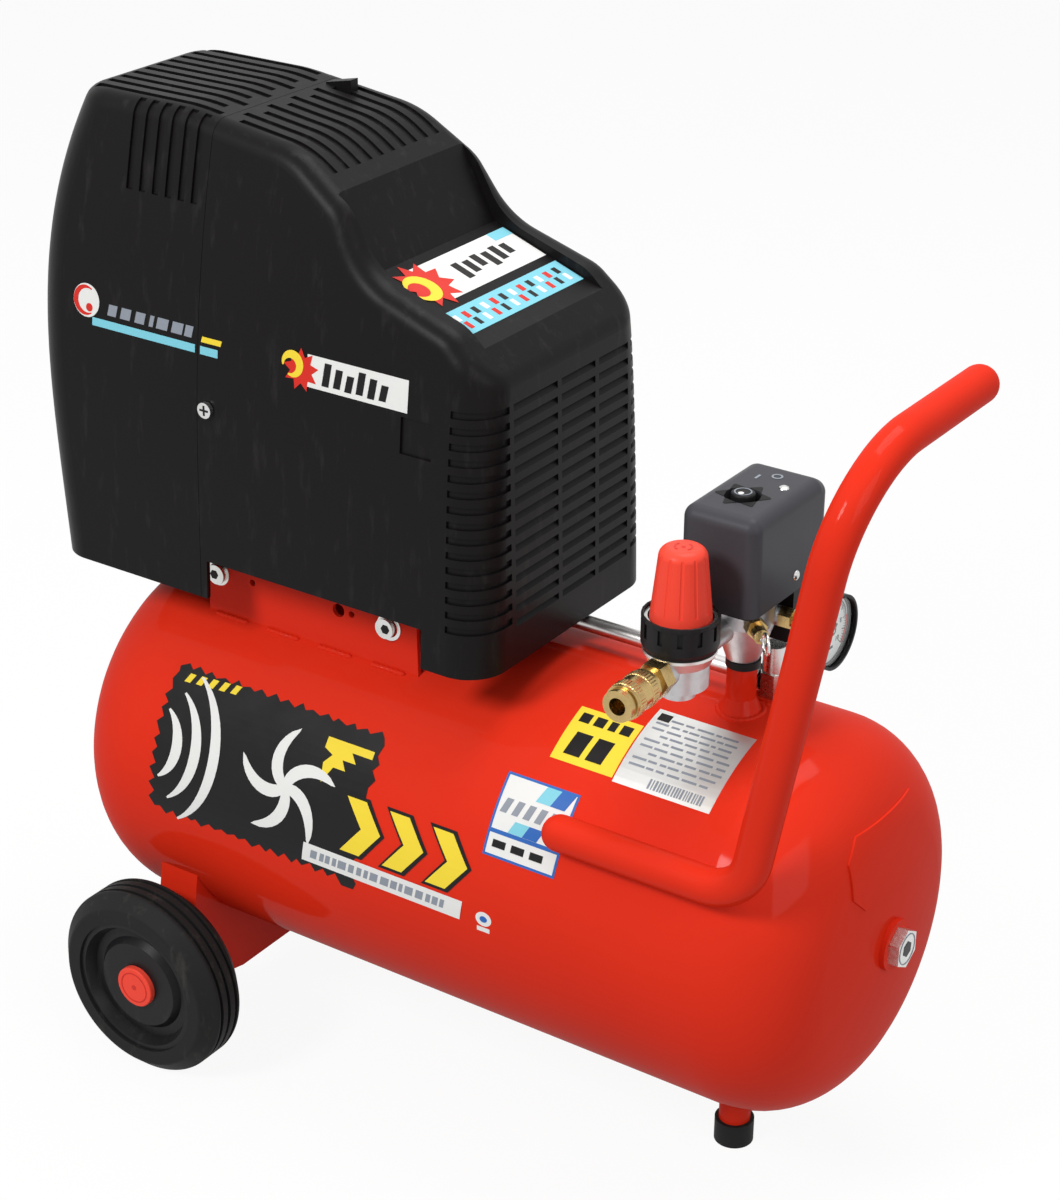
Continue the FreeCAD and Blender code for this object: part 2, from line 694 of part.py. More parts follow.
def make_wheel(name, side):
    """Tyre, rim and hub cap of one wheel; heights run outwards from the wheel's inner face."""
    start = V(WHEEL_X, side * WHEEL_INNER_Y, WHEEL_RADIUS)
    outward = AXIS_Y * side
    wide = WHEEL_WIDTH
    shoulder = TYRE_SHOULDER
    tyre = turned(((TYRE_INNER_RADIUS, 0), (WHEEL_RADIUS - shoulder, 0), (WHEEL_RADIUS, shoulder),
                   (WHEEL_RADIUS, wide - shoulder), (WHEEL_RADIUS - shoulder, wide),
                   (TYRE_INNER_RADIUS, wide)), start, outward)
    crowns = [edge for edge in tyre.Edges if len(edge.Vertexes) == 1
              and abs(edge.Curve.Radius - TYRE_INNER_RADIUS) > shoulder / 2]
    tyre = tyre.makeFillet(shoulder / 3, crowns)
    grooves = []
    for i in range(TREAD_GROOVES):
        offset = wide / 2 + (i - (TREAD_GROOVES - 1) / 2) * TREAD_GROOVE_PITCH
        low = start + outward * (offset - TREAD_GROOVE_WIDTH / 2)
        grooves.append(ring(low, outward, WHEEL_RADIUS + TREAD_GROOVE_DEPTH,
                            WHEEL_RADIUS - TREAD_GROOVE_DEPTH, TREAD_GROOVE_WIDTH))
    save(name + "_wheel_tyre", tyre.cut(grooves))

    hub_low = HUB_INNER_Y - WHEEL_INNER_Y
    hub_high = wide - HUB_RECESS
    dish = wide - RIM_DISH
    step = dish + RIM_WEB
    rim = turned(((AXLE_BOLT_RADIUS + RUNNING_FIT, hub_low), (HUB_RADIUS, hub_low),
                  (HUB_RADIUS, dish - RIM_WEB), (TYRE_INNER_RADIUS - RIM_LIP, dish - RIM_WEB),
                  (TYRE_INNER_RADIUS - RIM_LIP, RIM_LIP), (TYRE_INNER_RADIUS, RIM_LIP),
                  (TYRE_INNER_RADIUS, wide - RIM_LIP / 2),
                  (TYRE_INNER_RADIUS - RIM_LIP, wide - RIM_LIP / 2),
                  (TYRE_INNER_RADIUS - 2 * RIM_LIP, dish), (RIM_STEP_RADIUS, dish),
                  (RIM_STEP_RADIUS - RIM_LIP, step), (HUB_RADIUS, step), (HUB_RADIUS, hub_high),
                  (AXLE_BOLT_RADIUS + RUNNING_FIT, hub_high)), start, outward)
    save(name + "_wheel_rim", rim)

    cap = rod(start + outward * hub_high, outward, HUB_CAP_RADIUS, HUB_CAP_THICKNESS)
    rims = [edge for edge in cap.Edges if len(edge.Vertexes) == 1
            and abs(edge.Curve.Center.y - side * (WHEEL_INNER_Y + hub_high)) > HUB_CAP_THICKNESS / 2]
    save(name + "_hub_cap", cap.makeFillet(HUB_CAP_THICKNESS / 4, rims))


def handle_points():
    """Corner points of the handle's centre line."""
    reach = TANK_RADIUS + HANDLE_RADIUS + SEAT_GAP
    near_y = -reach * math.sin(math.radians(HANDLE_ANGLE))
    low_z = TANK_AXIS_Z + reach * math.cos(math.radians(HANDLE_ANGLE))
    return [V(HANDLE_START_X, near_y, low_z), V(HANDLE_FOOT_X, near_y, low_z),
            V(HANDLE_TOP_X, near_y, HANDLE_GRIP_Z), V(HANDLE_TOP_X, HANDLE_GRIP_END_Y, HANDLE_GRIP_Z)]


def make_handle():
    """Bent tube welded along the near shoulder of the tank, with a horizontal grip."""
    points = handle_points()
    bends = (HANDLE_FOOT_BEND, HANDLE_TOP_BEND)
    outer = bent_bar(points, bends, HANDLE_RADIUS)
    inner = bent_bar(points, bends, HANDLE_RADIUS - HANDLE_WALL)
    ends = [Part.makeSphere(HANDLE_RADIUS, end) for end in (points[0], points[-1])]
    solid = outer.fuse(ends)
    weld_x0 = HANDLE_START_X + HANDLE_WELD_END_MARGIN
    weld_x1 = HANDLE_FOOT_X - HANDLE_FOOT_BEND - HANDLE_WELD_END_MARGIN
    half = HANDLE_WELD_WIDTH / 2
    weld = block(weld_x0, weld_x1, -half, half, TANK_RADIUS - half, TANK_RADIUS + HANDLE_RADIUS)
    weld.rotate(V(0, 0, 0), AXIS_X, HANDLE_ANGLE)
    weld.translate(V(0, 0, TANK_AXIS_Z))
    tube = solid.fuse(weld.cut(TANK_SOLID)).cut(inner)
    save("handle_tube", tube.removeSplitter())


def make_saddle():
    """Folded sheet deck that carries the pump, open at both ends, welded along its two sides."""
    left = SADDLE_LEFT_X
    right = SADDLE_RIGHT_X
    low = TANK_AXIS_Z
    outer = prism_xz(((left, low), (right, low), (right - SADDLE_SLANT, SADDLE_TOP_Z),
                      (left, SADDLE_TOP_Z)), SADDLE_HALF_WIDTH)
    inner = block(left - SADDLE_SHEET, right + SADDLE_SHEET, SADDLE_SHEET - SADDLE_HALF_WIDTH,
                  SADDLE_HALF_WIDTH - SADDLE_SHEET, low, SADDLE_TOP_Z - SADDLE_SHEET)
    across = 2 * SADDLE_HALF_WIDTH
    holes = [rod(V(x, -across, SADDLE_BOLT_Z), AXIS_Y, SADDLE_BOLT_RADIUS, 2 * across)
             for x in SADDLE_BOLT_X]
    holes += [rod(V(x, -across, SADDLE_BOLT_Z), AXIS_Y, SADDLE_SMALL_HOLE, 2 * across)
              for x in SADDLE_SMALL_HOLES_X]
    holes.append(rod(V(SADDLE_CABLE_HOLE_X, -across, SADDLE_BOLT_Z), AXIS_Y, SADDLE_CABLE_HOLE,
                     2 * across))
    save("pump_saddle", outer.cut([inner, TANK_SOLID] + holes))

    bolts = []
    for side in (-1, 1):
        for x in SADDLE_BOLT_X:
            face = V(x, side * SADDLE_HALF_WIDTH, SADDLE_BOLT_Z)
            head = rod(face, AXIS_Y * side, SADDLE_BOLT_HEAD, SADDLE_BOLT_HEAD_HEIGHT)
            shank = rod(face, AXIS_Y * -side, SADDLE_BOLT_RADIUS, SADDLE_SHEET)
            nut = hexagon(face - AXIS_Y * (side * SADDLE_SHEET), AXIS_Y * -side, SADDLE_NUT_FLATS,
                          SADDLE_NUT_HEIGHT)
            bolts.append(head.fuse([shank, nut]))
    save("saddle_bolts", *bolts)


# ================================================================ shroud
def shroud_section(level, inset):
    """Rounded rectangle of the shroud at one level, moved inwards by inset."""
    rise, left_in, right_in, side_in = level
    x0 = SHROUD_LEFT_X + left_in + inset
    x1 = SHROUD_RIGHT_X - right_in - inset
    half = SHROUD_HALF_WIDTH - side_in - inset
    radius = SHROUD_CORNER - inset
    z = SHROUD_BOTTOM_Z + rise
    edges = []
    corners = ((x1, half, 0), (x0, half, 90), (x0, -half, 180), (x1, -half, 270))
    last = None
    first = None
    for x, y, angle in corners:
        centre = V(x - math.copysign(radius, x - (x0 + x1) / 2), y - math.copysign(radius, y), z)
        turn = [V(math.cos(math.radians(angle + a)), math.sin(math.radians(angle + a)), 0) * radius
                for a in (0, 45, 90)]
        start, middle, end = [centre + offset for offset in turn]
        if last is None:
            first = start
        else:
            edges.append(Part.LineSegment(last, start).toShape())
        edges.append(Part.Arc(start, middle, end).toShape())
        last = end
    edges.append(Part.LineSegment(last, first).toShape())
    return Part.Wire(edges)


def crest_prism(inset):
    """Everything below the shroud's top silhouette, lowered by inset."""
    top = SHROUD_TOP_Z - inset
    low = SHROUD_BOTTOM_Z - SHROUD_CORNER
    left = SHROUD_LEFT_X - 2 * SHROUD_CORNER
    right = SHROUD_RIGHT_X + 2 * SHROUD_CORNER
    last_x, last_drop, _ = SHROUD_CREST[-1]
    corners = [V(left, 0, top)] + [V(x, 0, top - drop) for x, drop, _ in SHROUD_CREST]
    corners.append(V(right, 0, top - last_drop - (right - last_x)))
    path = blended_path(corners, [radius for _, _, radius in SHROUD_CREST])
    closing = Part.makePolygon([corners[-1], V(right, 0, low), V(left, 0, low), corners[0]])
    outline = Part.Wire(Part.__sortEdges__(path.Edges + closing.Edges))
    outline.translate(V(0, -2 * SHROUD_HALF_WIDTH, 0))
    return Part.Face(outline).extrude(AXIS_Y * (4 * SHROUD_HALF_WIDTH))


def top_edges(shape, prism):
    """Edges where the top silhouette meets the sides."""
    picked = []
    for edge in shape.Edges:
        middle = edge.valueAt((edge.FirstParameter + edge.LastParameter) / 2)
        along = edge.tangentAt((edge.FirstParameter + edge.LastParameter) / 2)
        on_top = prism.distToShape(Part.Vertex(middle))[0] < 0.01
        inside = prism.isInside(middle, 0.01, False)
        if on_top and not inside and abs(along.y) < 0.999:
            picked.append(edge)
    return picked


def shroud_solid(inset):
    """Solid inside the shroud's surface, moved inwards by inset."""
    sections = [shroud_section(level, inset) for level in SHROUD_LEVELS]
    body = Part.makeLoft(sections, True, False)
    prism = crest_prism(inset)
    body = body.common(prism)
    edge = SHROUD_EDGE - inset
    return body.makeFillet(edge, top_edges(body, prism))


def recess_block(grow):
    """Space above the sloping panel between the side rims, widened by grow."""
    top = SHROUD_TOP_Z
    floor = [(x, top - drop - grow) for x, drop in RECESS_FLOOR]
    left = RECESS_FLOOR[0][0] - grow
    floor[0] = (left, floor[0][1])
    ceiling = [(RECESS_FLOOR[-1][0] + RECESS_CEILING, floor[-1][1]),
               (RECESS_FLOOR[-1][0] + RECESS_CEILING, top + RECESS_CEILING),
               (left, top + RECESS_CEILING)]
    return prism_xz(floor + ceiling, RECESS_HALF_WIDTH + grow)


def groove_boxes_roof():
    """Boxes over the long grooves of the roof, parted at the seam."""
    boxes = []
    for i in range(ROOF_GROOVES):
        seam_left = SHROUD_SEAM_X - ROOF_GROOVE_SEAM_MARGINS[i % 2]
        seam_right = SHROUD_SEAM_X + ROOF_GROOVE_SEAM_MARGINS[(i + 1) % 2]
        y = (i - (ROOF_GROOVES - 1) / 2) * ROOF_GROOVE_PITCH
        for x0, x1 in ((ROOF_GROOVE_LEFT_X, seam_left), (seam_right, ROOF_GROOVE_RIGHT_X)):
            boxes.append(block(x0, x1, y - ROOF_GROOVE_WIDTH / 2, y + ROOF_GROOVE_WIDTH / 2,
                               SHROUD_TOP_Z - SHROUD_HALF_WIDTH, SHROUD_TOP_Z + SHROUD_CORNER))
    return boxes


def groove_boxes_grille():
    """Boxes over the short grooves that wrap the upper side edges beside the pump."""
    boxes = []
    side = SHROUD_HALF_WIDTH
    roof_edge = (ROOF_GROOVES / 2) * ROOF_GROOVE_PITCH
    for i in range(GRILLE_COUNT):
        x0 = GRILLE_X + i * GRILLE_PITCH
        for y0, y1 in ((-side, -roof_edge), (roof_edge, side)):
            boxes.append(block(x0, x0 + GRILLE_WIDTH, y0, y1, SHROUD_TOP_Z - GRILLE_DROP,
                               SHROUD_TOP_Z + SHROUD_CORNER))
    return boxes


def groove_boxes_fins():
    """Boxes over the level grooves that wrap the two right corners and the left end."""
    boxes = []
    side = SHROUD_HALF_WIDTH
    right = SHROUD_RIGHT_X
    near_end = LOUVRE_BARS_Y[0] - LOUVRE_BAR_WIDTH / 2
    far_end = LOUVRE_BARS_Y[-1] + LOUVRE_BAR_WIDTH / 2
    for i in range(LOUVRE_ROWS):
        z0 = LOUVRE_BOTTOM_Z + i * LOUVRE_PITCH
        for y0, y1 in ((-side, near_end), (far_end, side)):
            boxes.append(block(right - FIN_CORNER_REACH, right + 1, y0, y1, z0, z0 + LOUVRE_HEIGHT))
    for i in range(LEFT_FIN_ROWS):
        z0 = LEFT_FIN_BOTTOM_Z + i * LEFT_FIN_PITCH
        boxes.append(block(SHROUD_LEFT_X - SHROUD_CORNER, SHROUD_LEFT_X + SHROUD_CORNER / 2,
                           SHROUD_CORNER - side, side - SHROUD_CORNER, z0, z0 + LEFT_FIN_HEIGHT))
    return boxes


def louvre_slots():
    """Through slots in the right end, over the fan, rising inwards."""
    outer_x = SHROUD_RIGHT_X + SHROUD_WALL
    inner_x = SHROUD_RIGHT_X - 3 * SHROUD_WALL
    rise = LOUVRE_SLOPE * (outer_x - inner_x)
    slots = []
    for near_y, far_y in zip(LOUVRE_BARS_Y, LOUVRE_BARS_Y[1:]):
        half = (far_y - near_y - LOUVRE_BAR_WIDTH) / 2
        for row in range(LOUVRE_ROWS):
            z0 = LOUVRE_BOTTOM_Z + row * LOUVRE_PITCH - LOUVRE_SLOPE * 2 * SHROUD_WALL
            z1 = z0 + LOUVRE_HEIGHT
            slot = prism_xz(((outer_x, z0), (outer_x, z1), (inner_x, z1 + rise),
                             (inner_x, z0 + rise)), half)
            slot.translate(AXIS_Y * ((near_y + far_y) / 2))
            slots.append(slot)
    return slots


def shroud_tabs():
    """Ledges inside the shroud that rest on the saddle's deck: X range of each."""
    left = SADDLE_LEFT_X + SADDLE_SHEET
    right = SADDLE_RIGHT_X - SADDLE_SLANT - SADDLE_SHEET
    return (left, left + TAB_WIDTH), (right - TAB_WIDTH, right)


def shroud_grooves():
    """Boxes over every shallow groove and the sunken panel of the shroud's skin."""
    half = PANEL_SIZE / 2
    panel = block(PANEL_X - half, PANEL_X + half, -SHROUD_HALF_WIDTH, 0, PANEL_Z - half,
                  PANEL_Z + half)
    return groove_boxes_roof() + groove_boxes_grille() + groove_boxes_fins() + [panel]


def roof_catch():
    """Wedge beside the seam that a finger pushes to part the covers."""
    low = SHROUD_TOP_Z - CATCH_ROOT
    wedge = prism_xz(((CATCH_LEFT_X, low), (CATCH_RIGHT_X, low), (CATCH_RIGHT_X, CATCH_TOP_Z),
                      (CATCH_LEFT_X, CATCH_LOW_Z)), (CATCH_FAR_Y - CATCH_NEAR_Y) / 2)
    wedge.translate(AXIS_Y * ((CATCH_NEAR_Y + CATCH_FAR_Y) / 2))
    return wedge


def seam_lap(inner, x0, x1):
    """Space behind the seam from x0 to x1, outside the lap's inner face."""
    section = Part.Face(inner.slice(AXIS_X, SHROUD_SEAM_X)[0])
    height = section.BoundBox.ZMax - SHROUD_BOTTOM_Z
    shrink = FreeCAD.Matrix()
    shrink.move(0, 0, -SHROUD_BOTTOM_Z)
    shrink.scale(1, 1 - SHROUD_LAP_WALL / section.BoundBox.YMax, 1 - SHROUD_LAP_WALL / height)
    shrink.move(0, 0, SHROUD_BOTTOM_Z)
    core = section.transformGeometry(shrink)
    core.translate(AXIS_X * -SHROUD_LAP)
    core = core.extrude(AXIS_X * (2 * SHROUD_LAP))
    side = 2 * SHROUD_HALF_WIDTH
    return block(x0, x1, -side, side, NOTCH_TOP_Z, SHROUD_TOP_Z + SHROUD_CORNER).cut(core)


def make_shroud():
    """Two plastic covers that meet in a lapped seam, resting on the saddle."""
    outer = shroud_solid(0)
    skin = shroud_solid(GROOVE_DEPTH)
    grooved = outer.cut(shroud_grooves()).fuse(skin)
    inner = shroud_solid(SHROUD_WALL).cut(recess_block(SHROUD_WALL))
    notch = block(NOTCH_LEFT_X, NOTCH_RIGHT_X, -2 * SHROUD_HALF_WIDTH, 2 * SHROUD_HALF_WIDTH,
                  SHROUD_BOTTOM_Z - SHROUD_CORNER, NOTCH_TOP_Z)
    screw_x = SHROUD_SEAM_X + SEAM_SCREW_OFFSET
    screw_holes = rod(V(screw_x, -SHROUD_HALF_WIDTH, SEAM_SCREW_Z), AXIS_Y, SEAM_SCREW_RADIUS,
                      2 * SHROUD_HALF_WIDTH)
    openings = [recess_block(0), notch, screw_holes] + louvre_slots()

    tabs = []
    for x0, x1 in shroud_tabs():
        for side in (-1, 1):
            near = side * (SADDLE_HALF_WIDTH - TAB_REACH)
            far = side * SHROUD_HALF_WIDTH
            tabs.append(block(x0, x1, min(near, far), max(near, far), SADDLE_TOP_Z,
                              SADDLE_TOP_Z + TAB_THICKNESS).common(skin))
    far_x = 2 * SHROUD_LEFT_X
    left_end = SHROUD_SEAM_X - SHROUD_SEAM_GAP / 2
    right_end = SHROUD_SEAM_X + SHROUD_SEAM_GAP / 2
    lap_left = SHROUD_SEAM_X - SHROUD_LAP
    lap_right = SHROUD_SEAM_X + SHROUD_LAP
    tall = SHROUD_TOP_Z + SHROUD_CORNER
    side = 2 * SHROUD_HALF_WIDTH
    left_room = inner.cut(seam_lap(inner, lap_left, left_end))
    left_half = grooved.common(block(far_x, left_end, -side, side, 0, tall))
    tongue = inner.common(seam_lap(inner, left_end, lap_right)).cut(screw_holes)
    left_cover = left_half.cut([left_room] + openings).fuse(tabs[:2]).fuse(tongue)
    right_half = grooved.common(block(right_end, -far_x, -side, side, 0, tall))
    right_cover = right_half.fuse(roof_catch()).cut([inner] + openings).fuse(tabs[2:])
    save("shroud_left_cover", left_cover)
    save("shroud_right_cover", right_cover)

    screws = []
    for side in (-1, 1):
        probe = Part.makeLine(V(screw_x, 0, SEAM_SCREW_Z),
                              V(screw_x, side * 2 * SHROUD_HALF_WIDTH, SEAM_SCREW_Z))
        surface_y = min(abs(vertex.Y) for vertex in probe.cut(outer).Vertexes)
        seat = V(screw_x, side * (surface_y + SEAM_SCREW_SEAT), SEAM_SCREW_Z)
        head = rod(seat, AXIS_Y * side, SEAM_SCREW_HEAD, SEAM_SCREW_HEAD_HEIGHT)
        shank = rod(seat, AXIS_Y * -side, SEAM_SCREW_RADIUS - RUNNING_FIT, SEAM_SCREW_LENGTH)
        screws.append(head.fuse(shank))
    save("shroud_screws", *screws)


# ================================================================ motor
def make_motor_housing():
    """Tubular motor body on four feet."""
    length = MOTOR_RIGHT_X - MOTOR_LEFT_X
    centre = V(MOTOR_LEFT_X, 0, MOTOR_AXIS_Z)
    tube = rod(centre, AXIS_X, MOTOR_RADIUS, length)
    feet = []
    for x in motor_foot_places():
        feet.append(block(x - FOOT_BLOCK_LENGTH / 2, x + FOOT_BLOCK_LENGTH / 2, -FOOT_BLOCK_HALF_WIDTH,
                          FOOT_BLOCK_HALF_WIDTH, SADDLE_TOP_Z + MOUNT_HEIGHT, MOTOR_AXIS_Z))
    bore = rod(centre, AXIS_X, MOTOR_RADIUS - MOTOR_WALL, length)
    save("motor_housing", tube.fuse(feet).cut(bore))


def motor_foot_places():
    inset = FOOT_BLOCK_INSET + FOOT_BLOCK_LENGTH / 2
    return MOTOR_LEFT_X + inset, MOTOR_RIGHT_X - inset


def make_rubber_mounts():
    """Rubber cylinders between the saddle and the feet of motor and crankcase."""
    mounts = []
    for x in motor_foot_places():
        for y in (-MOUNT_HALF_SPACING, MOUNT_HALF_SPACING):
            mounts.append(rod(V(x, y, SADDLE_TOP_Z), AXIS_Z, MOUNT_RADIUS, MOUNT_HEIGHT))
    mounts.append(rod(V(case_foot_x(), 0, SADDLE_TOP_Z), AXIS_Z, MOUNT_RADIUS, MOUNT_HEIGHT))
    save("rubber_mounts", *mounts)


def make_end_shields():
    """Discs that close the motor and hold its bearings, with vents for cooling air."""
    shields = []
    for x in (CASE_RIGHT_X, MOTOR_RIGHT_X):
        centre = V(x, 0, MOTOR_AXIS_Z)
        disc = ring(centre, AXIS_X, MOTOR_RADIUS, BEARING_OUTER, SHIELD_THICKNESS)
        vent = rod(centre + AXIS_Z * SHIELD_VENT_CIRCLE, AXIS_X, SHIELD_VENT_RADIUS, SHIELD_THICKNESS)
        if x == MOTOR_RIGHT_X:
            disc = disc.cut(round_array(vent, centre, AXIS_X, SHIELD_VENTS))
        shields.append(disc)
    save("motor_end_shields", *shields)


def make_bearings():
    """Plain shaft bearings in the two end shields."""
    bearings = []
    for x in (CASE_RIGHT_X, SHIELD_RIGHT_X - BEARING_WIDTH):
        bearings.append(ring(V(x, 0, MOTOR_AXIS_Z), AXIS_X, BEARING_OUTER, SHAFT_RADIUS + RUNNING_FIT,
                             BEARING_WIDTH))
    save("shaft_bearings", *bearings)


def make_stator():
    """Laminated core with slots, and the end turns of its windings."""
    x0 = MOTOR_LEFT_X + STATOR_END_MARGIN
    x1 = MOTOR_RIGHT_X - STATOR_END_MARGIN
    centre = V(x0, 0, MOTOR_AXIS_Z)
    length = x1 - x0
    core = ring(centre, AXIS_X, MOTOR_RADIUS - MOTOR_WALL, STATOR_BORE, length)
    slot = block(x0, x1, -STATOR_SLOT_WIDTH / 2, STATOR_SLOT_WIDTH / 2,
                 MOTOR_AXIS_Z + STATOR_BORE - SEAT_GAP,
                 MOTOR_AXIS_Z + STATOR_BORE + STATOR_SLOT_DEPTH)
    save("stator_core", core.cut(round_array(slot, centre, AXIS_X, STATOR_SLOTS)))
    save("stator_windings",
         ring(V(x0 - WINDING_LENGTH, 0, MOTOR_AXIS_Z), AXIS_X, WINDING_OUTER, WINDING_INNER,
              WINDING_LENGTH),
         ring(V(x1, 0, MOTOR_AXIS_Z), AXIS_X, WINDING_OUTER, WINDING_INNER, WINDING_LENGTH))
    save("rotor", ring(centre, AXIS_X, STATOR_BORE - AIR_GAP, SHAFT_RADIUS, length))


def make_crankshaft():
    """Motor shaft with an overhung crank web, counterweight and crank pin."""
    pin_x = PUMP_X - CRANK_PIN_LENGTH / 2
    web_x = PUMP_X + CRANK_PIN_LENGTH / 2
    axis = V(web_x, 0, MOTOR_AXIS_Z)
    shaft = rod(axis, AXIS_X, SHAFT_RADIUS, SHAFT_RIGHT_X - web_x)
    web = rod(axis, AXIS_X, CRANK_WEB_RADIUS, CRANK_WEB_THICKNESS)
    weight = rod(axis, AXIS_X, COUNTERWEIGHT_RADIUS, CRANK_WEB_THICKNESS)
    upper = block(web_x, web_x + CRANK_WEB_THICKNESS, -COUNTERWEIGHT_RADIUS, COUNTERWEIGHT_RADIUS,
                  MOTOR_AXIS_Z, MOTOR_AXIS_Z + COUNTERWEIGHT_RADIUS)
    pin = rod(V(pin_x, 0, CRANK_PIN_Z), AXIS_X, CRANK_PIN_RADIUS, CRANK_PIN_LENGTH)
    save("crankshaft", shaft.fuse([web, weight.common(upper), pin]))


def make_fan():
    """Axial fan on the free end of the shaft."""
    centre = V(FAN_RIGHT_X - FAN_WIDTH, 0, MOTOR_AXIS_Z)
    hub = rod(centre, AXIS_X, FAN_HUB_RADIUS, FAN_WIDTH)
    root = FAN_HUB_RADIUS - FAN_BLADE_THICKNESS
    blade = block(-FAN_WIDTH / 2, FAN_WIDTH / 2, -FAN_BLADE_THICKNESS / 2, FAN_BLADE_THICKNESS / 2,
                  root, FAN_RADIUS)
    blade.rotate(V(0, 0, 0), AXIS_Z, FAN_BLADE_PITCH)
    blade.translate(centre + AXIS_X * (FAN_WIDTH / 2))
    inside = rod(centre, AXIS_X, FAN_RADIUS, FAN_WIDTH)
    blades = round_array(blade.common(inside), centre, AXIS_X, FAN_BLADES)
    shaft = rod(centre, AXIS_X, SHAFT_RADIUS, FAN_WIDTH)
    save("cooling_fan", hub.fuse(blades).cut(shaft))


def make_capacitor():
    """Run capacitor lying on the near upper side of the motor."""
    reach = MOTOR_RADIUS + CAPACITOR_RADIUS + SEAT_GAP
    angle = math.radians(CAPACITOR_ANGLE)
    x0 = (MOTOR_LEFT_X + MOTOR_RIGHT_X - CAPACITOR_LENGTH) / 2
    start = V(x0, -reach * math.sin(angle), MOTOR_AXIS_Z + reach * math.cos(angle))
    save("motor_capacitor", rod(start, AXIS_X, CAPACITOR_RADIUS, CAPACITOR_LENGTH))


# ================================================================ pump
def case_foot_x():
    return (SADDLE_LEFT_X + CASE_RIGHT_X) / 2 - FOOT_BLOCK_INSET


def make_crankcase():
    """Box that joins the motor to the cylinder, on a foot of its own."""
    half = CASE_HALF_WIDTH
    wall = CASE_WALL
    box = block(CASE_LEFT_X, CASE_RIGHT_X, -half, half, CASE_BOTTOM_Z, CASE_TOP_Z)
    room = block(CASE_LEFT_X + wall, CASE_RIGHT_X - wall, wall - half, half - wall,
                 CASE_BOTTOM_Z + wall, CASE_TOP_Z - wall)
    mouth = rod(V(PUMP_X, 0, CASE_TOP_Z - wall), AXIS_Z, PISTON_RADIUS + RUNNING_FIT, wall)
    shaft_hole = rod(V(CASE_RIGHT_X - wall, 0, MOTOR_AXIS_Z), AXIS_X, BEARING_OUTER, wall)
    foot = block(case_foot_x() - CASE_FOOT_LENGTH / 2, case_foot_x() + CASE_FOOT_LENGTH / 2,
                 -MOUNT_RADIUS, MOUNT_RADIUS, SADDLE_TOP_Z + MOUNT_HEIGHT, CASE_BOTTOM_Z)
    save("crankcase", box.fuse(foot).cut([room, mouth, shaft_hole]))


def make_connecting_rod():
    """Rod with a big end round the crank pin and the gudgeon pin fixed in its small end."""
    x0 = PUMP_X - ROD_THICKNESS / 2
    big = rod(V(x0, 0, CRANK_PIN_Z), AXIS_X, ROD_BIG_END, ROD_THICKNESS)
    small = rod(V(x0, 0, GUDGEON_Z), AXIS_X, ROD_SMALL_END, ROD_THICKNESS)
    shank = block(x0, x0 + ROD_THICKNESS, -ROD_SHANK_WIDTH / 2, ROD_SHANK_WIDTH / 2, CRANK_PIN_Z,
                  GUDGEON_Z)
    gudgeon = rod(V(PUMP_X - GUDGEON_LENGTH / 2, 0, GUDGEON_Z), AXIS_X, GUDGEON_RADIUS, GUDGEON_LENGTH)
    eye = rod(V(x0, 0, CRANK_PIN_Z), AXIS_X, CRANK_PIN_RADIUS + RUNNING_FIT, ROD_THICKNESS)
    save("connecting_rod", big.fuse([small, shank, gudgeon]).cut(eye))


def make_piston():
    """Trunk piston, open below, with two ring grooves."""
    outer = PISTON_RADIUS
    inner = outer - PISTON_SKIRT_WALL
    groove = outer - RING_GROOVE_DEPTH
    wide = RING_GROOVE_WIDTH
    low = GUDGEON_Z - PISTON_SKIRT_BELOW
    top = PISTON_TOP_Z
    piston = turned(((0, PISTON_CROWN_Z - low), (inner, PISTON_CROWN_Z - low), (inner, 0), (outer, 0),
                     (outer, top - low), (0, top - low)), V(PUMP_X, 0, low), AXIS_Z)
    grooves = []
    for i in range(2):
        z = top - (2 * i + 2) * wide
        grooves.append(ring(V(PUMP_X, 0, z), AXIS_Z, outer + wide, groove, wide))
    save("piston", piston.cut(grooves))


def make_cylinder():
    """Finned cylinder bolted on the crankcase."""
    start = V(PUMP_X, 0, CASE_TOP_Z)
    length = CYLINDER_TOP_Z - CASE_TOP_Z
    barrel = rod(start, AXIS_Z, PISTON_RADIUS + RUNNING_FIT + CYLINDER_WALL, length)
    pitch = length / CYLINDER_FINS
    fins = [rod(start + AXIS_Z * (pitch * (i + 1) - CYLINDER_FIN_THICKNESS), AXIS_Z,
                CYLINDER_FIN_RADIUS, CYLINDER_FIN_THICKNESS) for i in range(CYLINDER_FINS)]
    bore = rod(start, AXIS_Z, PISTON_RADIUS + RUNNING_FIT, length)
    save("cylinder", barrel.fuse(fins).cut(bore))


def head_bolt_places():
    reach = HEAD_HALF_SIZE - HEAD_BOLT_INSET
    return [(PUMP_X + sx * reach, sy * reach) for sx in (-1, 1) for sy in (-1, 1)]


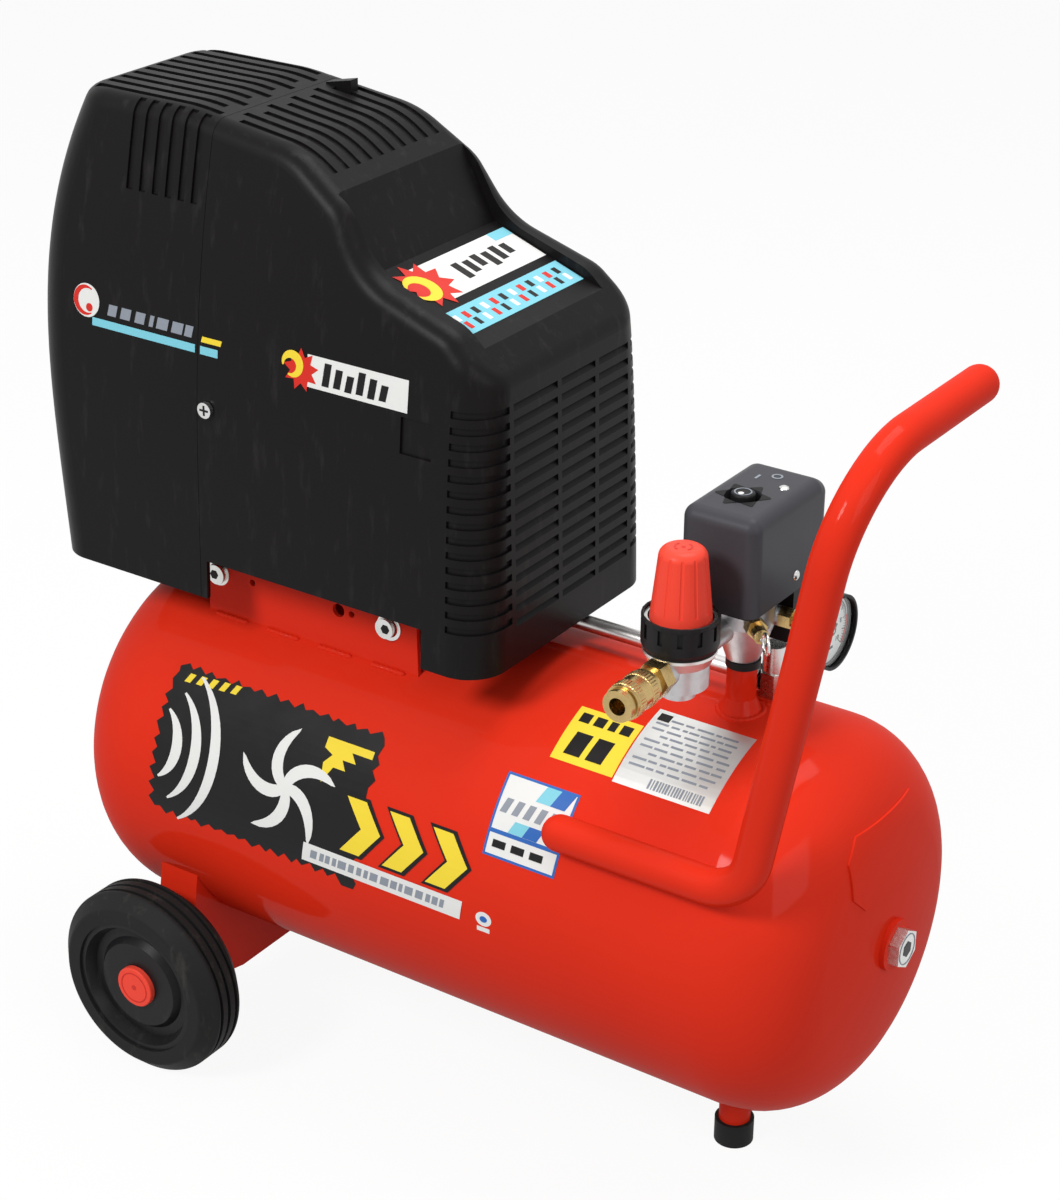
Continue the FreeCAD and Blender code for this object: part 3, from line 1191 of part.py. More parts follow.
def make_cylinder_head():
    """Valve plate, and the finned head with its bolts' bosses and the two air ports."""
    half = HEAD_HALF_SIZE
    plate = block(PUMP_X - half, PUMP_X + half, -half, half, CYLINDER_TOP_Z, HEAD_Z)
    ports = [rod(V(PUMP_X + sx * PISTON_RADIUS / 2, 0, CYLINDER_TOP_Z), AXIS_Z, VALVE_PORT_RADIUS,
                 VALVE_PLATE_THICKNESS) for sx in (-1, 1)]
    save("valve_plate", plate.cut(ports))

    base_top = HEAD_Z + HEAD_BASE
    base = block(PUMP_X - half, PUMP_X + half, -half, half, HEAD_Z, base_top)
    fins = []
    pitch = 2 * half / HEAD_FINS
    for i in range(HEAD_FINS):
        y = -half + (i + 0.5) * pitch
        fins.append(block(PUMP_X - half, PUMP_X + half, y - HEAD_FIN_THICKNESS / 2,
                          y + HEAD_FIN_THICKNESS / 2, base_top, base_top + HEAD_FIN_HEIGHT))
    bolts = [rod(V(x, y, base_top), AXIS_Z, HEAD_BOLT_HEAD, HEAD_FIN_HEIGHT / 2)
             for x, y in head_bolt_places()]
    save("cylinder_head", base.fuse(fins + bolts))
    start = V(PUMP_X + half, 0, HEAD_Z + HEAD_FIN_HEIGHT / 2)
    save("intake_filter", rod(start, AXIS_X, FILTER_RADIUS, FILTER_LENGTH))


# ================================================================ delivery line
def make_delivery_line():
    """Pipe from the cylinder head, down inside the shroud and along the tank's top."""
    head_z = HEAD_Z + HEAD_BASE / 2
    start = V(PUMP_X - HEAD_HALF_SIZE, PIPE_Y, head_z)
    end = V(CHECK_X - CHECK_RADIUS - SEAT_GAP, PIPE_Y, PIPE_Z)
    points = [start, V(PIPE_DROP_X, PIPE_Y, head_z), V(PIPE_DROP_X, PIPE_Y, PIPE_Z), end]
    bends = (PIPE_BEND_TOP, PIPE_BEND_BOTTOM)
    pipe = bent_bar(points, bends, PIPE_RADIUS)
    save("delivery_pipe", pipe.cut(bent_bar(points, bends, PIPE_RADIUS - PIPE_WALL)))

    nut = hexagon(V(0, 0, 0), AXIS_X, NUT_FLATS, NUT_LENGTH).cut(
        rod(V(0, 0, 0), AXIS_X, PIPE_RADIUS, NUT_LENGTH))
    nut.translate(end - AXIS_X * NUT_LENGTH)
    save("pipe_nut", nut)

    low = V(CHECK_X, PIPE_Y, TANK_TOP_Z + CHECK_BOSS_HEIGHT)
    valve = hexagon(low, AXIS_Z, CHECK_FLATS, CHECK_HEX_HEIGHT)
    upper = rod(low, AXIS_Z, CHECK_RADIUS, CHECK_TOP_Z - low.z)
    side = rod(V(CHECK_X, PIPE_Y, UNLOADER_Z), AXIS_Y, 2 * UNLOADER_RADIUS, CHECK_RADIUS + 2 * SEAT_GAP)
    keep = block(end.x, end.x + 2 * CHECK_FLATS, PIPE_Y - CHECK_FLATS, PIPE_Y + CHECK_FLATS, low.z,
                 CHECK_TOP_Z)
    save("check_valve", valve.common(keep).fuse([upper, side]))

    block_y = (BASE_BLOCK_Y + SWITCH_FAR_Y - BASE_INSET) / 2
    line = [V(CHECK_X, PIPE_Y + CHECK_RADIUS + 2 * SEAT_GAP, UNLOADER_Z),
            V(CHECK_X, UNLOADER_Y, UNLOADER_Z), V(UNLOADER_X, UNLOADER_Y, UNLOADER_Z),
            V(UNLOADER_X, block_y, UNLOADER_Z), V(UNLOADER_X, block_y, BASE_BLOCK_BOTTOM_Z)]
    bends = [UNLOADER_BEND / 2, UNLOADER_BEND, UNLOADER_BEND]
    save("unloader_tube", bent_bar(line, bends, UNLOADER_RADIUS))


# ================================================================ pressure switch
def switch_outline(inset):
    """Side outline of the switch cover in the YZ plane, moved inwards by inset."""
    near = SWITCH_NEAR_Y + inset
    far = SWITCH_FAR_Y - inset
    top = SWITCH_TOP_Z - inset
    return ((near, SWITCH_BOTTOM_Z), (far, SWITCH_BOTTOM_Z), (far, top - SWITCH_FAR_DROP),
            (far - SWITCH_FAR_SLOPE, top), (near, top))


def switch_solid(inset):
    """Solid inside the switch cover's surface, moved inwards by inset."""
    solid = prism_yz(switch_outline(inset), SWITCH_LEFT_X + inset, SWITCH_RIGHT_X - inset)
    edges = [edge for edge in solid.Edges
             if edge.BoundBox.ZMax > SWITCH_BOTTOM_Z + SWITCH_EDGE]
    return solid.makeFillet(SWITCH_EDGE - inset, edges)


def make_switch():
    """Pressure switch: base with cable glands, cover, and the pull knob in its well."""
    outer = switch_solid(0)
    inner = switch_solid(SWITCH_WALL)
    centre = V(SWITCH_WELL_X, SWITCH_WELL_Y, SWITCH_TOP_Z - SWITCH_WELL_DEPTH)
    well = rod(centre, AXIS_Z, SWITCH_WELL_RADIUS, 2 * SWITCH_WELL_DEPTH)
    cup = rod(centre - AXIS_Z * SWITCH_WALL, AXIS_Z, SWITCH_WELL_RADIUS + SWITCH_WALL,
              2 * SWITCH_WELL_DEPTH).common(outer)
    hole = rod(centre - AXIS_Z * SWITCH_WALL, AXIS_Z, SWITCH_STEM_RADIUS + RUNNING_FIT,
               2 * SWITCH_WALL)
    shell = outer.cut(inner).fuse(cup).cut([well, hole])
    save("switch_cover", shell)

    knob = rod(centre + AXIS_Z * SEAT_GAP, AXIS_Z, SWITCH_KNOB_RADIUS, SWITCH_KNOB_HEIGHT)
    knob = knob.makeFillet(SWITCH_WALL / 2, [edge for edge in knob.Edges
                                             if edge.BoundBox.ZMin > centre.z + SWITCH_WALL])
    stem = rod(centre + AXIS_Z * SEAT_GAP, DOWN, SWITCH_STEM_RADIUS,
               SWITCH_STEM_REACH + SWITCH_KNOB_TRAVEL)
    save("switch_knob", knob.fuse(stem))

    inset = SWITCH_WALL + SEAT_GAP
    plate = block(SWITCH_LEFT_X + inset, SWITCH_RIGHT_X - inset, SWITCH_NEAR_Y + inset,
                  SWITCH_FAR_Y - inset, SWITCH_BOTTOM_Z - BASE_INSET, COVER_SEAT_Z)
    plate = plate.makeFillet(SWITCH_EDGE - inset, [edge for edge in plate.Edges
                                                   if edge.BoundBox.ZLength > BASE_PLATE])
    lower = block(SWITCH_LEFT_X + BASE_BLOCK_INSET, SWITCH_RIGHT_X - BASE_BLOCK_INSET, BASE_BLOCK_Y,
                  SWITCH_FAR_Y - BASE_INSET, BASE_BLOCK_BOTTOM_Z, SWITCH_BOTTOM_Z - BASE_INSET)
    save("switch_base", plate.fuse(lower))

    glands = []
    for x in GLAND_X:
        start = V(x, SWITCH_FAR_Y - BASE_INSET, GLAND_Z)
        nut = hexagon(start, AXIS_Y, 2 * GLAND_RADIUS, GLAND_LENGTH / 2)
        nose = rod(start, AXIS_Y, GLAND_NOSE, GLAND_LENGTH)
        glands.append(nut.fuse(nose).cut(rod(start, AXIS_Y, GLAND_BORE, GLAND_LENGTH)))
    save("cable_glands", *glands)


# ================================================================ manifold and its fittings
def make_manifold():
    """Cast block between the riser and the switch, with an arm to the regulator."""
    start = V(RISER_X, 0, RISER_TOP_Z)
    cone_height = MANIFOLD_CONE_TOP_Z - RISER_TOP_Z
    height = SWITCH_BOTTOM_Z - BASE_INSET - RISER_TOP_Z
    body = turned(((0, 0), (RISER_RADIUS, 0), (MANIFOLD_TOP_RADIUS, cone_height),
                   (MANIFOLD_TOP_RADIUS, height), (0, height)), start, AXIS_Z)
    arm_end = REGULATOR_Y + REGULATOR_RADIUS
    arm = rod(V(REGULATOR_X, arm_end, PORT_Z), AXIS_Y, MANIFOLD_ARM_RADIUS, -arm_end)
    pad = rod(V(RISER_X, 0, RELIEF_Z), RELIEF_WAY, RELIEF_FLATS / 2, MANIFOLD_REACH)
    gauge_pad = rod(V(RISER_X, GAUGE_Y, GAUGE_Z), AXIS_X, GAUGE_STEM_FLATS / 2,
                    MANIFOLD_REACH)
    duct = rod(V(RISER_X, 0, RISER_TOP_Z), AXIS_Z, RISER_BORE, height / 2)
    seat = rod(V(REGULATOR_X, REGULATOR_Y, REGULATOR_BOTTOM_Z), AXIS_Z, REGULATOR_RADIUS,
               REGULATOR_TOP_Z - REGULATOR_BOTTOM_Z)
    save("switch_manifold", body.fuse([arm, pad, gauge_pad]).cut([duct, seat]))


def gauge_stem():
    """Brass stem that carries the gauge on the manifold."""
    start = V(RISER_X + MANIFOLD_REACH, GAUGE_Y, GAUGE_Z)
    stem = rod(start, AXIS_X, GAUGE_STEM_RADIUS, GAUGE_BACK_X - start.x)
    return stem.fuse(hexagon(start, AXIS_X, GAUGE_STEM_FLATS, RELIEF_HEX))


def make_relief_valve():
    """Relief valve with a sprung stem and pull ring, and the gauge's stem beside it."""
    way = RELIEF_WAY
    face = V(RISER_X, 0, RELIEF_Z) + way * MANIFOLD_REACH
    nut = hexagon(face, way, RELIEF_FLATS, RELIEF_HEX)
    nose = rod(face, way, RELIEF_BODY_RADIUS, RELIEF_HEX + RELIEF_BODY)
    hole = rod(face, way, RELIEF_STEM_RADIUS + RUNNING_FIT, RELIEF_HEX + RELIEF_BODY)
    save("manifold_fittings", nut.fuse(nose).cut(hole), gauge_stem())
    tip = face + way * (RELIEF_HEX + RELIEF_BODY)
    stem = rod(face + way * RELIEF_HEX, way, RELIEF_STEM_RADIUS, RELIEF_BODY + RELIEF_TRAVEL)
    eye = Part.makeTorus(RELIEF_RING_RADIUS, RELIEF_RING_WIRE)
    eye.rotate(V(0, 0, 0), AXIS_X, 90)
    eye.rotate(V(0, 0, 0), AXIS_Z, RELIEF_ANGLE)
    eye.translate(tip + way * (RELIEF_RING_RADIUS + RELIEF_TRAVEL))
    save("relief_valve_ring", stem.fuse(eye))


def make_gauge():
    """Tank pressure gauge facing the handle end."""
    back = V(GAUGE_BACK_X, GAUGE_Y, GAUGE_Z)
    drum = GAUGE_RADIUS - GAUGE_BEZEL
    case = turned(((0, 0), (drum, 0), (drum, GAUGE_DEPTH / 2),
                   (GAUGE_RADIUS, GAUGE_DEPTH / 2), (GAUGE_RADIUS, GAUGE_DEPTH),
                   (GAUGE_RADIUS - GAUGE_WALL, GAUGE_DEPTH),
                   (GAUGE_RADIUS - GAUGE_WALL, GAUGE_GLASS_SEAT),
                   (drum - GAUGE_WALL, GAUGE_GLASS_SEAT),
                   (drum - GAUGE_WALL, GAUGE_FLOOR), (0, GAUGE_FLOOR)),
                  back, AXIS_X)
    save("gauge_case", case)

    inner = GAUGE_RADIUS - GAUGE_BEZEL - GAUGE_WALL
    dial = rod(back + AXIS_X * GAUGE_FLOOR, AXIS_X, inner, GAUGE_DIAL)
    post_top = GAUGE_FLOOR + GAUGE_DIAL + POINTER_LIFT + POINTER_THICKNESS
    post = rod(back + AXIS_X * GAUGE_FLOOR, AXIS_X, POINTER_PIN, post_top - GAUGE_FLOOR)
    save("gauge_dial", dial.fuse(post))

    level = GAUGE_FLOOR + GAUGE_DIAL + POINTER_LIFT
    needle = block(0, POINTER_THICKNESS, -POINTER_THICKNESS, POINTER_THICKNESS, -POINTER_TAIL,
                   POINTER_LENGTH)
    hub = rod(V(0, 0, 0), AXIS_X, POINTER_HUB, POINTER_THICKNESS)
    hole = rod(V(0, 0, 0), AXIS_X, POINTER_PIN + RUNNING_FIT, POINTER_THICKNESS)
    pointer = needle.fuse(hub).cut(hole)
    pointer.rotate(V(0, 0, 0), AXIS_X, POINTER_REST)
    pointer.translate(back + AXIS_X * level)
    save("gauge_pointer", pointer)
    save("gauge_glass", rod(back + AXIS_X * (GAUGE_GLASS_SEAT), AXIS_X, GAUGE_RADIUS - GAUGE_WALL,
                            GAUGE_GLASS))


# ================================================================ regulator and quick coupler
def make_regulator():
    """Outlet pressure regulator: body, lock ring, adjusting knob and spring."""
    low = V(REGULATOR_X, REGULATOR_Y, REGULATOR_BOTTOM_Z)
    height = REGULATOR_TOP_Z - REGULATOR_BOTTOM_Z
    body = rod(low, AXIS_Z, REGULATOR_RADIUS, height)
    boss = rod(low, DOWN, REGULATOR_BOSS, REGULATOR_BOSS_HEIGHT)
    port = rod(V(REGULATOR_X, REGULATOR_Y, PORT_Z), TO_NEAR, REGULATOR_PORT,
               REGULATOR_Y - COUPLER_START_Y)
    room = rod(low + AXIS_Z * (height / 2), AXIS_Z, BONNET_SEAT, height / 2)
    save("regulator_body", body.fuse([boss, port]).cut(room))

    top = V(REGULATOR_X, REGULATOR_Y, REGULATOR_TOP_Z)
    ring_bore = KNOB_BASE_RADIUS + KNOB_GAP
    lock = turned(((BONNET_SEAT, 0), (BONNET_RADIUS - BONNET_WALL / 2, 0), (BONNET_RADIUS, BONNET_WALL),
                   (BONNET_RADIUS, BONNET_HEIGHT), (ring_bore, BONNET_HEIGHT), (ring_bore, BONNET_WALL),
                   (BONNET_SEAT, BONNET_WALL)), top, AXIS_Z)
    lug = block(BONNET_RADIUS - BONNET_LUG_DEPTH, BONNET_RADIUS + BONNET_LUG_DEPTH,
                -BONNET_LUG_WIDTH / 2, BONNET_LUG_WIDTH / 2, BONNET_HEIGHT / 2, BONNET_HEIGHT)
    lug.translate(top)
    save("regulator_lock_ring", lock.cut(round_array(lug, top, AXIS_Z, BONNET_LUGS)))

    seat = top + AXIS_Z * (BONNET_WALL + SEAT_GAP)
    tall = KNOB_HEIGHT + BONNET_HEIGHT - BONNET_WALL - SEAT_GAP
    straight = BONNET_HEIGHT - BONNET_WALL
    knob = turned(((0, 0), (KNOB_BASE_RADIUS, 0), (KNOB_BASE_RADIUS, straight),
                   (KNOB_TOP_RADIUS, tall), (0, tall)), seat, AXIS_Z)
    knob = knob.makeFillet(KNOB_EDGE, [edge for edge in knob.Edges
                                       if edge.BoundBox.ZMin > seat.z + tall - KNOB_EDGE])
    flute = rod(seat + AXIS_Z * (straight + KNOB_EDGE) + AXIS_X * (KNOB_BASE_RADIUS + SEAT_GAP),
                V(KNOB_TOP_RADIUS - KNOB_BASE_RADIUS, 0, tall - straight), KNOB_FLUTE_RADIUS, tall)
    room = rod(seat, AXIS_Z, BONNET_SEAT - KNOB_WALL, straight)
    stem = rod(seat, AXIS_Z, KNOB_STEM_RADIUS, straight)
    knob = knob.cut([room] + round_array(flute, seat, AXIS_Z, KNOB_FLUTES)).fuse(stem)
    save("regulator_knob", knob)

    spring_low = low + AXIS_Z * (height / 2)
    pitch = (height / 2 + BONNET_WALL - 2 * SPRING_WIRE) / SPRING_TURNS
    coils = []
    for i in range(SPRING_TURNS + 1):
        coil = Part.makeTorus(SPRING_RADIUS, SPRING_WIRE)
        coil.translate(spring_low + AXIS_Z * (SPRING_WIRE + i * pitch))
        coils.append(coil)
    spine = block(-SPRING_WIRE / 2, SPRING_WIRE / 2, SPRING_RADIUS - SPRING_WIRE / 2,
                  SPRING_RADIUS + SPRING_WIRE / 2, SPRING_WIRE, SPRING_WIRE + SPRING_TURNS * pitch)
    spine.translate(spring_low)
    save("regulator_spring", coils[0].fuse(coils[1:] + [spine]))


def make_coupler():
    """Quick coupler for the air hose, with a sliding release sleeve."""
    start = V(REGULATOR_X, COUPLER_START_Y, PORT_Z)
    sleeve_low = COUPLER_HEX + COUPLER_TRAVEL + COUPLER_SLEEVE_MARGIN
    sleeve_high = sleeve_low + COUPLER_SLEEVE_LENGTH
    length = sleeve_high + COUPLER_LIP
    nut = hexagon(start, TO_NEAR, COUPLER_FLATS, COUPLER_HEX)
    body = rod(start, TO_NEAR, COUPLER_BODY_RADIUS, length)
    lip = rod(start + TO_NEAR * (sleeve_high + SEAT_GAP), TO_NEAR, COUPLER_LIP_RADIUS,
              COUPLER_LIP - SEAT_GAP)
    bore = rod(start + TO_NEAR * (length - COUPLER_BORE_DEPTH), TO_NEAR, COUPLER_BORE,
               COUPLER_BORE_DEPTH)
    save("coupler_body", nut.fuse([body, lip]).cut(bore))
    sleeve = ring(start + TO_NEAR * sleeve_low, TO_NEAR, COUPLER_SLEEVE_RADIUS,
                  COUPLER_BODY_RADIUS + RUNNING_FIT, COUPLER_SLEEVE_LENGTH)
    save("coupler_sleeve", sleeve)


# ================================================================ drain cock
def make_drain():
    """Drain cock under the tank, with a wing key that turns its stem."""
    face = V(0, 0, TANK_BOTTOM_Z - DRAIN_BOSS_HEIGHT)
    nut = hexagon(face, DOWN, DRAIN_FLATS, DRAIN_HEX)
    nose = rod(face, DOWN, DRAIN_BODY_RADIUS, DRAIN_HEX + DRAIN_BODY)
    hole = rod(face, DOWN, DRAIN_STEM_RADIUS + RUNNING_FIT, DRAIN_HEX + DRAIN_BODY)
    save("drain_cock_body", nut.fuse(nose).cut(hole))
    tip = face + DOWN * (DRAIN_HEX + DRAIN_BODY + DRAIN_GAP)
    stem = rod(face + DOWN * DRAIN_HEX, DOWN, DRAIN_STEM_RADIUS, DRAIN_BODY + 2 * DRAIN_GAP)
    wing = block(-DRAIN_WING_SPAN / 2, DRAIN_WING_SPAN / 2, -DRAIN_WING_THICKNESS / 2,
                 DRAIN_WING_THICKNESS / 2, tip.z - DRAIN_WING_HEIGHT, tip.z)
    save("drain_cock_key", stem.fuse(wing))


def main():
    os.makedirs("parts", exist_ok=True)
    make_tank()
    make_bosses()
    make_plugs()
    make_data_plate()
    make_foot()
    make_axle_bracket()
    make_axle_bolts()
    make_wheel("near", -1)
    make_wheel("far", 1)
    make_handle()
    make_saddle()
    make_shroud()
    make_motor_housing()
    make_rubber_mounts()
    make_end_shields()
    make_bearings()
    make_stator()
    make_crankshaft()
    make_fan()
    make_capacitor()
    make_crankcase()
    make_connecting_rod()
    make_piston()
    make_cylinder()
    make_cylinder_head()
    make_delivery_line()
    make_switch()
    make_manifold()
    make_relief_valve()
    make_gauge()
    make_regulator()
    make_coupler()
    make_drain()


main()
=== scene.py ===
"""Finishes, prints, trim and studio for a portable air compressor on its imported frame."""
import math
import random

import bmesh
import bpy
from mathutils import Matrix, Vector
from mathutils.bvhtree import BVHTree


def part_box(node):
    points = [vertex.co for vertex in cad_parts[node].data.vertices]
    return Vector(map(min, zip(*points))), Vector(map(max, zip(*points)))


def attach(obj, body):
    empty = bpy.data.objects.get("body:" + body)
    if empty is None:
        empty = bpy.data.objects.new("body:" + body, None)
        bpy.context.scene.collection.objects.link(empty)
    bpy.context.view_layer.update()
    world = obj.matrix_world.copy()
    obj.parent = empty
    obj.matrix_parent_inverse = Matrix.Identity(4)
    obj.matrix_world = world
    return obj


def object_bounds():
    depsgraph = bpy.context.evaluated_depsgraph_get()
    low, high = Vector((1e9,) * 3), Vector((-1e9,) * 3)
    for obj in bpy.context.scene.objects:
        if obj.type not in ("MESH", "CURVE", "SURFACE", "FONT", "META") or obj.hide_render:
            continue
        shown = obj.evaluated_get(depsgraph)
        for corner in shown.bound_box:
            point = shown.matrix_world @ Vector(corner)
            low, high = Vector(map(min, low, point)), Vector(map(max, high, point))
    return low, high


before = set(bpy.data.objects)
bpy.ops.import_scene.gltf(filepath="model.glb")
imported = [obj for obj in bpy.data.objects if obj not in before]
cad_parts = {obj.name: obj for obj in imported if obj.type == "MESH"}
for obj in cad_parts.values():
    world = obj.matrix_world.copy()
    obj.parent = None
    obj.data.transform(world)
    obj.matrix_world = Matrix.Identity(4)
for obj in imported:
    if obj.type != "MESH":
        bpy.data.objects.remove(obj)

bl_info = {
    "name": "Portable Air Compressor",
    "version": (1, 0, 0),
    "blender": (4, 5, 0),
    "location": "3D View > Sidebar > Compressor",
    "description": "Finishes, prints and trim of a wheeled air compressor, and its studio",
    "category": "Object",
}

MM = 0.001
CAD_LOW, CAD_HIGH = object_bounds()

TANK_LOW, TANK_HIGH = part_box("tank_shell")
TANK_RADIUS = (TANK_HIGH[1] - TANK_LOW[1]) / 2
TANK_AXIS_Z = (TANK_HIGH[2] + TANK_LOW[2]) / 2


# ---------------------------------------------------------------- settings
class CompressorColours(bpy.types.PropertyGroup):
    """Colours of the paint, the plastics and the prints."""
    enamel: bpy.props.FloatVectorProperty(
        name="Tank Enamel", description="Red paint of the tank, saddle, handle and foot",
        default=(0.78, 0.030, 0.010), min=0, max=1, subtype="COLOR")
    knob: bpy.props.FloatVectorProperty(
        name="Knob Red", description="Red plastic of the regulator knob and the hub caps",
        default=(1.0, 0.075, 0.042), min=0, max=1, subtype="COLOR")
    cover: bpy.props.FloatVectorProperty(
        name="Cover Black", description="Moulded plastic of the two pump covers",
        default=(0.0064, 0.0056, 0.0058), min=0, max=1, subtype="COLOR")
    switch: bpy.props.FloatVectorProperty(
        name="Switch Grey", description="Moulded cover of the pressure switch",
        default=(0.054, 0.054, 0.062), min=0, max=1, subtype="COLOR")
    brass: bpy.props.FloatVectorProperty(
        name="Brass", description="Machined brass of the fittings",
        default=(0.56, 0.40, 0.17), min=0, max=1, subtype="COLOR")
    alloy: bpy.props.FloatVectorProperty(
        name="Cast Alloy", description="Cast aluminium of the manifold and regulator",
        default=(0.56, 0.57, 0.58), min=0, max=1, subtype="COLOR")
    yellow: bpy.props.FloatVectorProperty(
        name="Print Yellow", description="Yellow ink of the prints",
        default=(0.92, 0.70, 0.05), min=0, max=1, subtype="COLOR")
    white: bpy.props.FloatVectorProperty(
        name="Print White", description="White ink of the prints",
        default=(0.82, 0.82, 0.80), min=0, max=1, subtype="COLOR")
    cyan: bpy.props.FloatVectorProperty(
        name="Print Cyan", description="Pale blue ink of the stripes",
        default=(0.22, 0.62, 0.74), min=0, max=1, subtype="COLOR")
    blue: bpy.props.FloatVectorProperty(
        name="Print Blue", description="Blue ink of the square print",
        default=(0.03, 0.14, 0.48), min=0, max=1, subtype="COLOR")
    red: bpy.props.FloatVectorProperty(
        name="Print Red", description="Red ink of the cover prints",
        default=(0.68, 0.03, 0.02), min=0, max=1, subtype="COLOR")
    grey: bpy.props.FloatVectorProperty(
        name="Print Grey", description="Grey ink of the small marks",
        default=(0.28, 0.31, 0.36), min=0, max=1, subtype="COLOR")
    ink: bpy.props.FloatVectorProperty(
        name="Print Black", description="Black ink of the prints",
        default=(0.009, 0.009, 0.010), min=0, max=1, subtype="COLOR")


class CompressorSizes(bpy.types.PropertyGroup):
    """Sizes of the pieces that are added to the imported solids."""
    film: bpy.props.FloatProperty(
        name="Print Thickness", description="Thickness of one layer of printed film",
        default=0.12 * MM, min=0.02 * MM, max=1 * MM, precision=5, subtype="DISTANCE",
        unit="LENGTH")
    lift: bpy.props.FloatProperty(
        name="Print Lift", description="Gap between a surface and the film's underside",
        default=0.12 * MM, min=0.02 * MM, max=1 * MM, precision=5, subtype="DISTANCE",
        unit="LENGTH")
    bead: bpy.props.FloatProperty(
        name="Weld Bead", description="Radius of a weld bead",
        default=1.6 * MM, min=0.5 * MM, max=5 * MM, precision=5, subtype="DISTANCE",
        unit="LENGTH")


# ---------------------------------------------------------------- shader node groups
def shader_group(name, inputs, outputs):
    """New node group with named sockets; returns the group, its input and output nodes."""
    tree = bpy.data.node_groups.new(name, "ShaderNodeTree")
    for label, kind, value in inputs:
        socket = tree.interface.new_socket(name=label, in_out="INPUT", socket_type=kind)
        socket.default_value = value
    for label, kind in outputs:
        tree.interface.new_socket(name=label, in_out="OUTPUT", socket_type=kind)
    return tree, tree.nodes.new("NodeGroupInput"), tree.nodes.new("NodeGroupOutput")


def noise_node(tree, vector, scale, detail, roughness=0.5):
    """Noise texture fed by a vector socket."""
    node = tree.nodes.new("ShaderNodeTexNoise")
    node.inputs["Detail"].default_value = detail
    node.inputs["Roughness"].default_value = roughness
    tree.links.new(vector, node.inputs["Vector"])
    if isinstance(scale, (int, float)):
        node.inputs["Scale"].default_value = scale
    else:
        tree.links.new(scale, node.inputs["Scale"])
    return node.outputs["Fac"]


def math_node(tree, operation, first, second=0.0, clamp=False):
    """Math node whose two inputs are sockets or numbers."""
    node = tree.nodes.new("ShaderNodeMath")
    node.operation = operation
    node.use_clamp = clamp
    for index, value in enumerate((first, second)):
        if isinstance(value, (int, float)):
            node.inputs[index].default_value = value
        else:
            tree.links.new(value, node.inputs[index])
    return node.outputs["Value"]


def colour_mix(tree, factor, first, second):
    """Mix of two colour sockets or colours."""
    node = tree.nodes.new("ShaderNodeMix")
    node.data_type = "RGBA"
    tree.links.new(factor, node.inputs["Factor"])
    for label, value in (("A", first), ("B", second)):
        socket = [s for s in node.inputs if s.name == label and s.type == "RGBA"][0]
        if isinstance(value, (tuple, list)):
            socket.default_value = value
        else:
            tree.links.new(value, socket)
    return [s for s in node.outputs if s.type == "RGBA"][0]


def value_mix(tree, factor, first, second):
    """Mix of two number sockets."""
    node = tree.nodes.new("ShaderNodeMix")
    tree.links.new(factor, node.inputs["Factor"])
    for index, value in ((2, first), (3, second)):
        if isinstance(value, (int, float)):
            node.inputs[index].default_value = value
        else:
            tree.links.new(value, node.inputs[index])
    return node.outputs[0]


def stretch_node(tree, vector, factors):
    """Vector multiplied by a fixed or linked triple."""
    node = tree.nodes.new("ShaderNodeVectorMath")
    node.operation = "MULTIPLY"
    tree.links.new(vector, node.inputs[0])
    if isinstance(factors, (tuple, list)):
        node.inputs[1].default_value = factors
    else:
        tree.links.new(factors, node.inputs[1])
    return node.outputs["Vector"]


GREY = (0.5, 0.5, 0.5, 1.0)


def build_grain_group():
    """Moulded plastic or rubber: fine pebble grain, cloudy sheen and pale scuffs."""
    tree, source, sink = shader_group("Moulded Grain", [
        ("Color", "NodeSocketColor", GREY), ("Scuff Color", "NodeSocketColor", GREY),
        ("Grain Scale", "NodeSocketFloat", 900.0), ("Rough Low", "NodeSocketFloat", 0.35),
        ("Rough High", "NodeSocketFloat", 0.55), ("Scuff", "NodeSocketFloat", 0.2)],
        [("Color", "NodeSocketColor"), ("Roughness", "NodeSocketFloat"),
         ("Height", "NodeSocketFloat")])
    place = tree.nodes.new("ShaderNodeTexCoord").outputs["Object"]
    pebble = noise_node(tree, place, source.outputs["Grain Scale"], 2.0)
    cloud = noise_node(tree, place, 14.0, 3.0)
    streak = noise_node(tree, stretch_node(tree, place, (40.0, 40.0, 9.0)), 3.0, 6.0, 0.62)
    scuffed = math_node(tree, "MULTIPLY", math_node(tree, "SUBTRACT", streak, 0.56), 5.0, True)
    amount = math_node(tree, "MULTIPLY", scuffed, source.outputs["Scuff"])
    colour = colour_mix(tree, amount, source.outputs["Color"], source.outputs["Scuff Color"])
    rough = value_mix(tree, cloud, source.outputs["Rough Low"], source.outputs["Rough High"])
    tree.links.new(colour, sink.inputs["Color"])
    tree.links.new(rough, sink.inputs["Roughness"])
    tree.links.new(pebble, sink.inputs["Height"])
    return tree


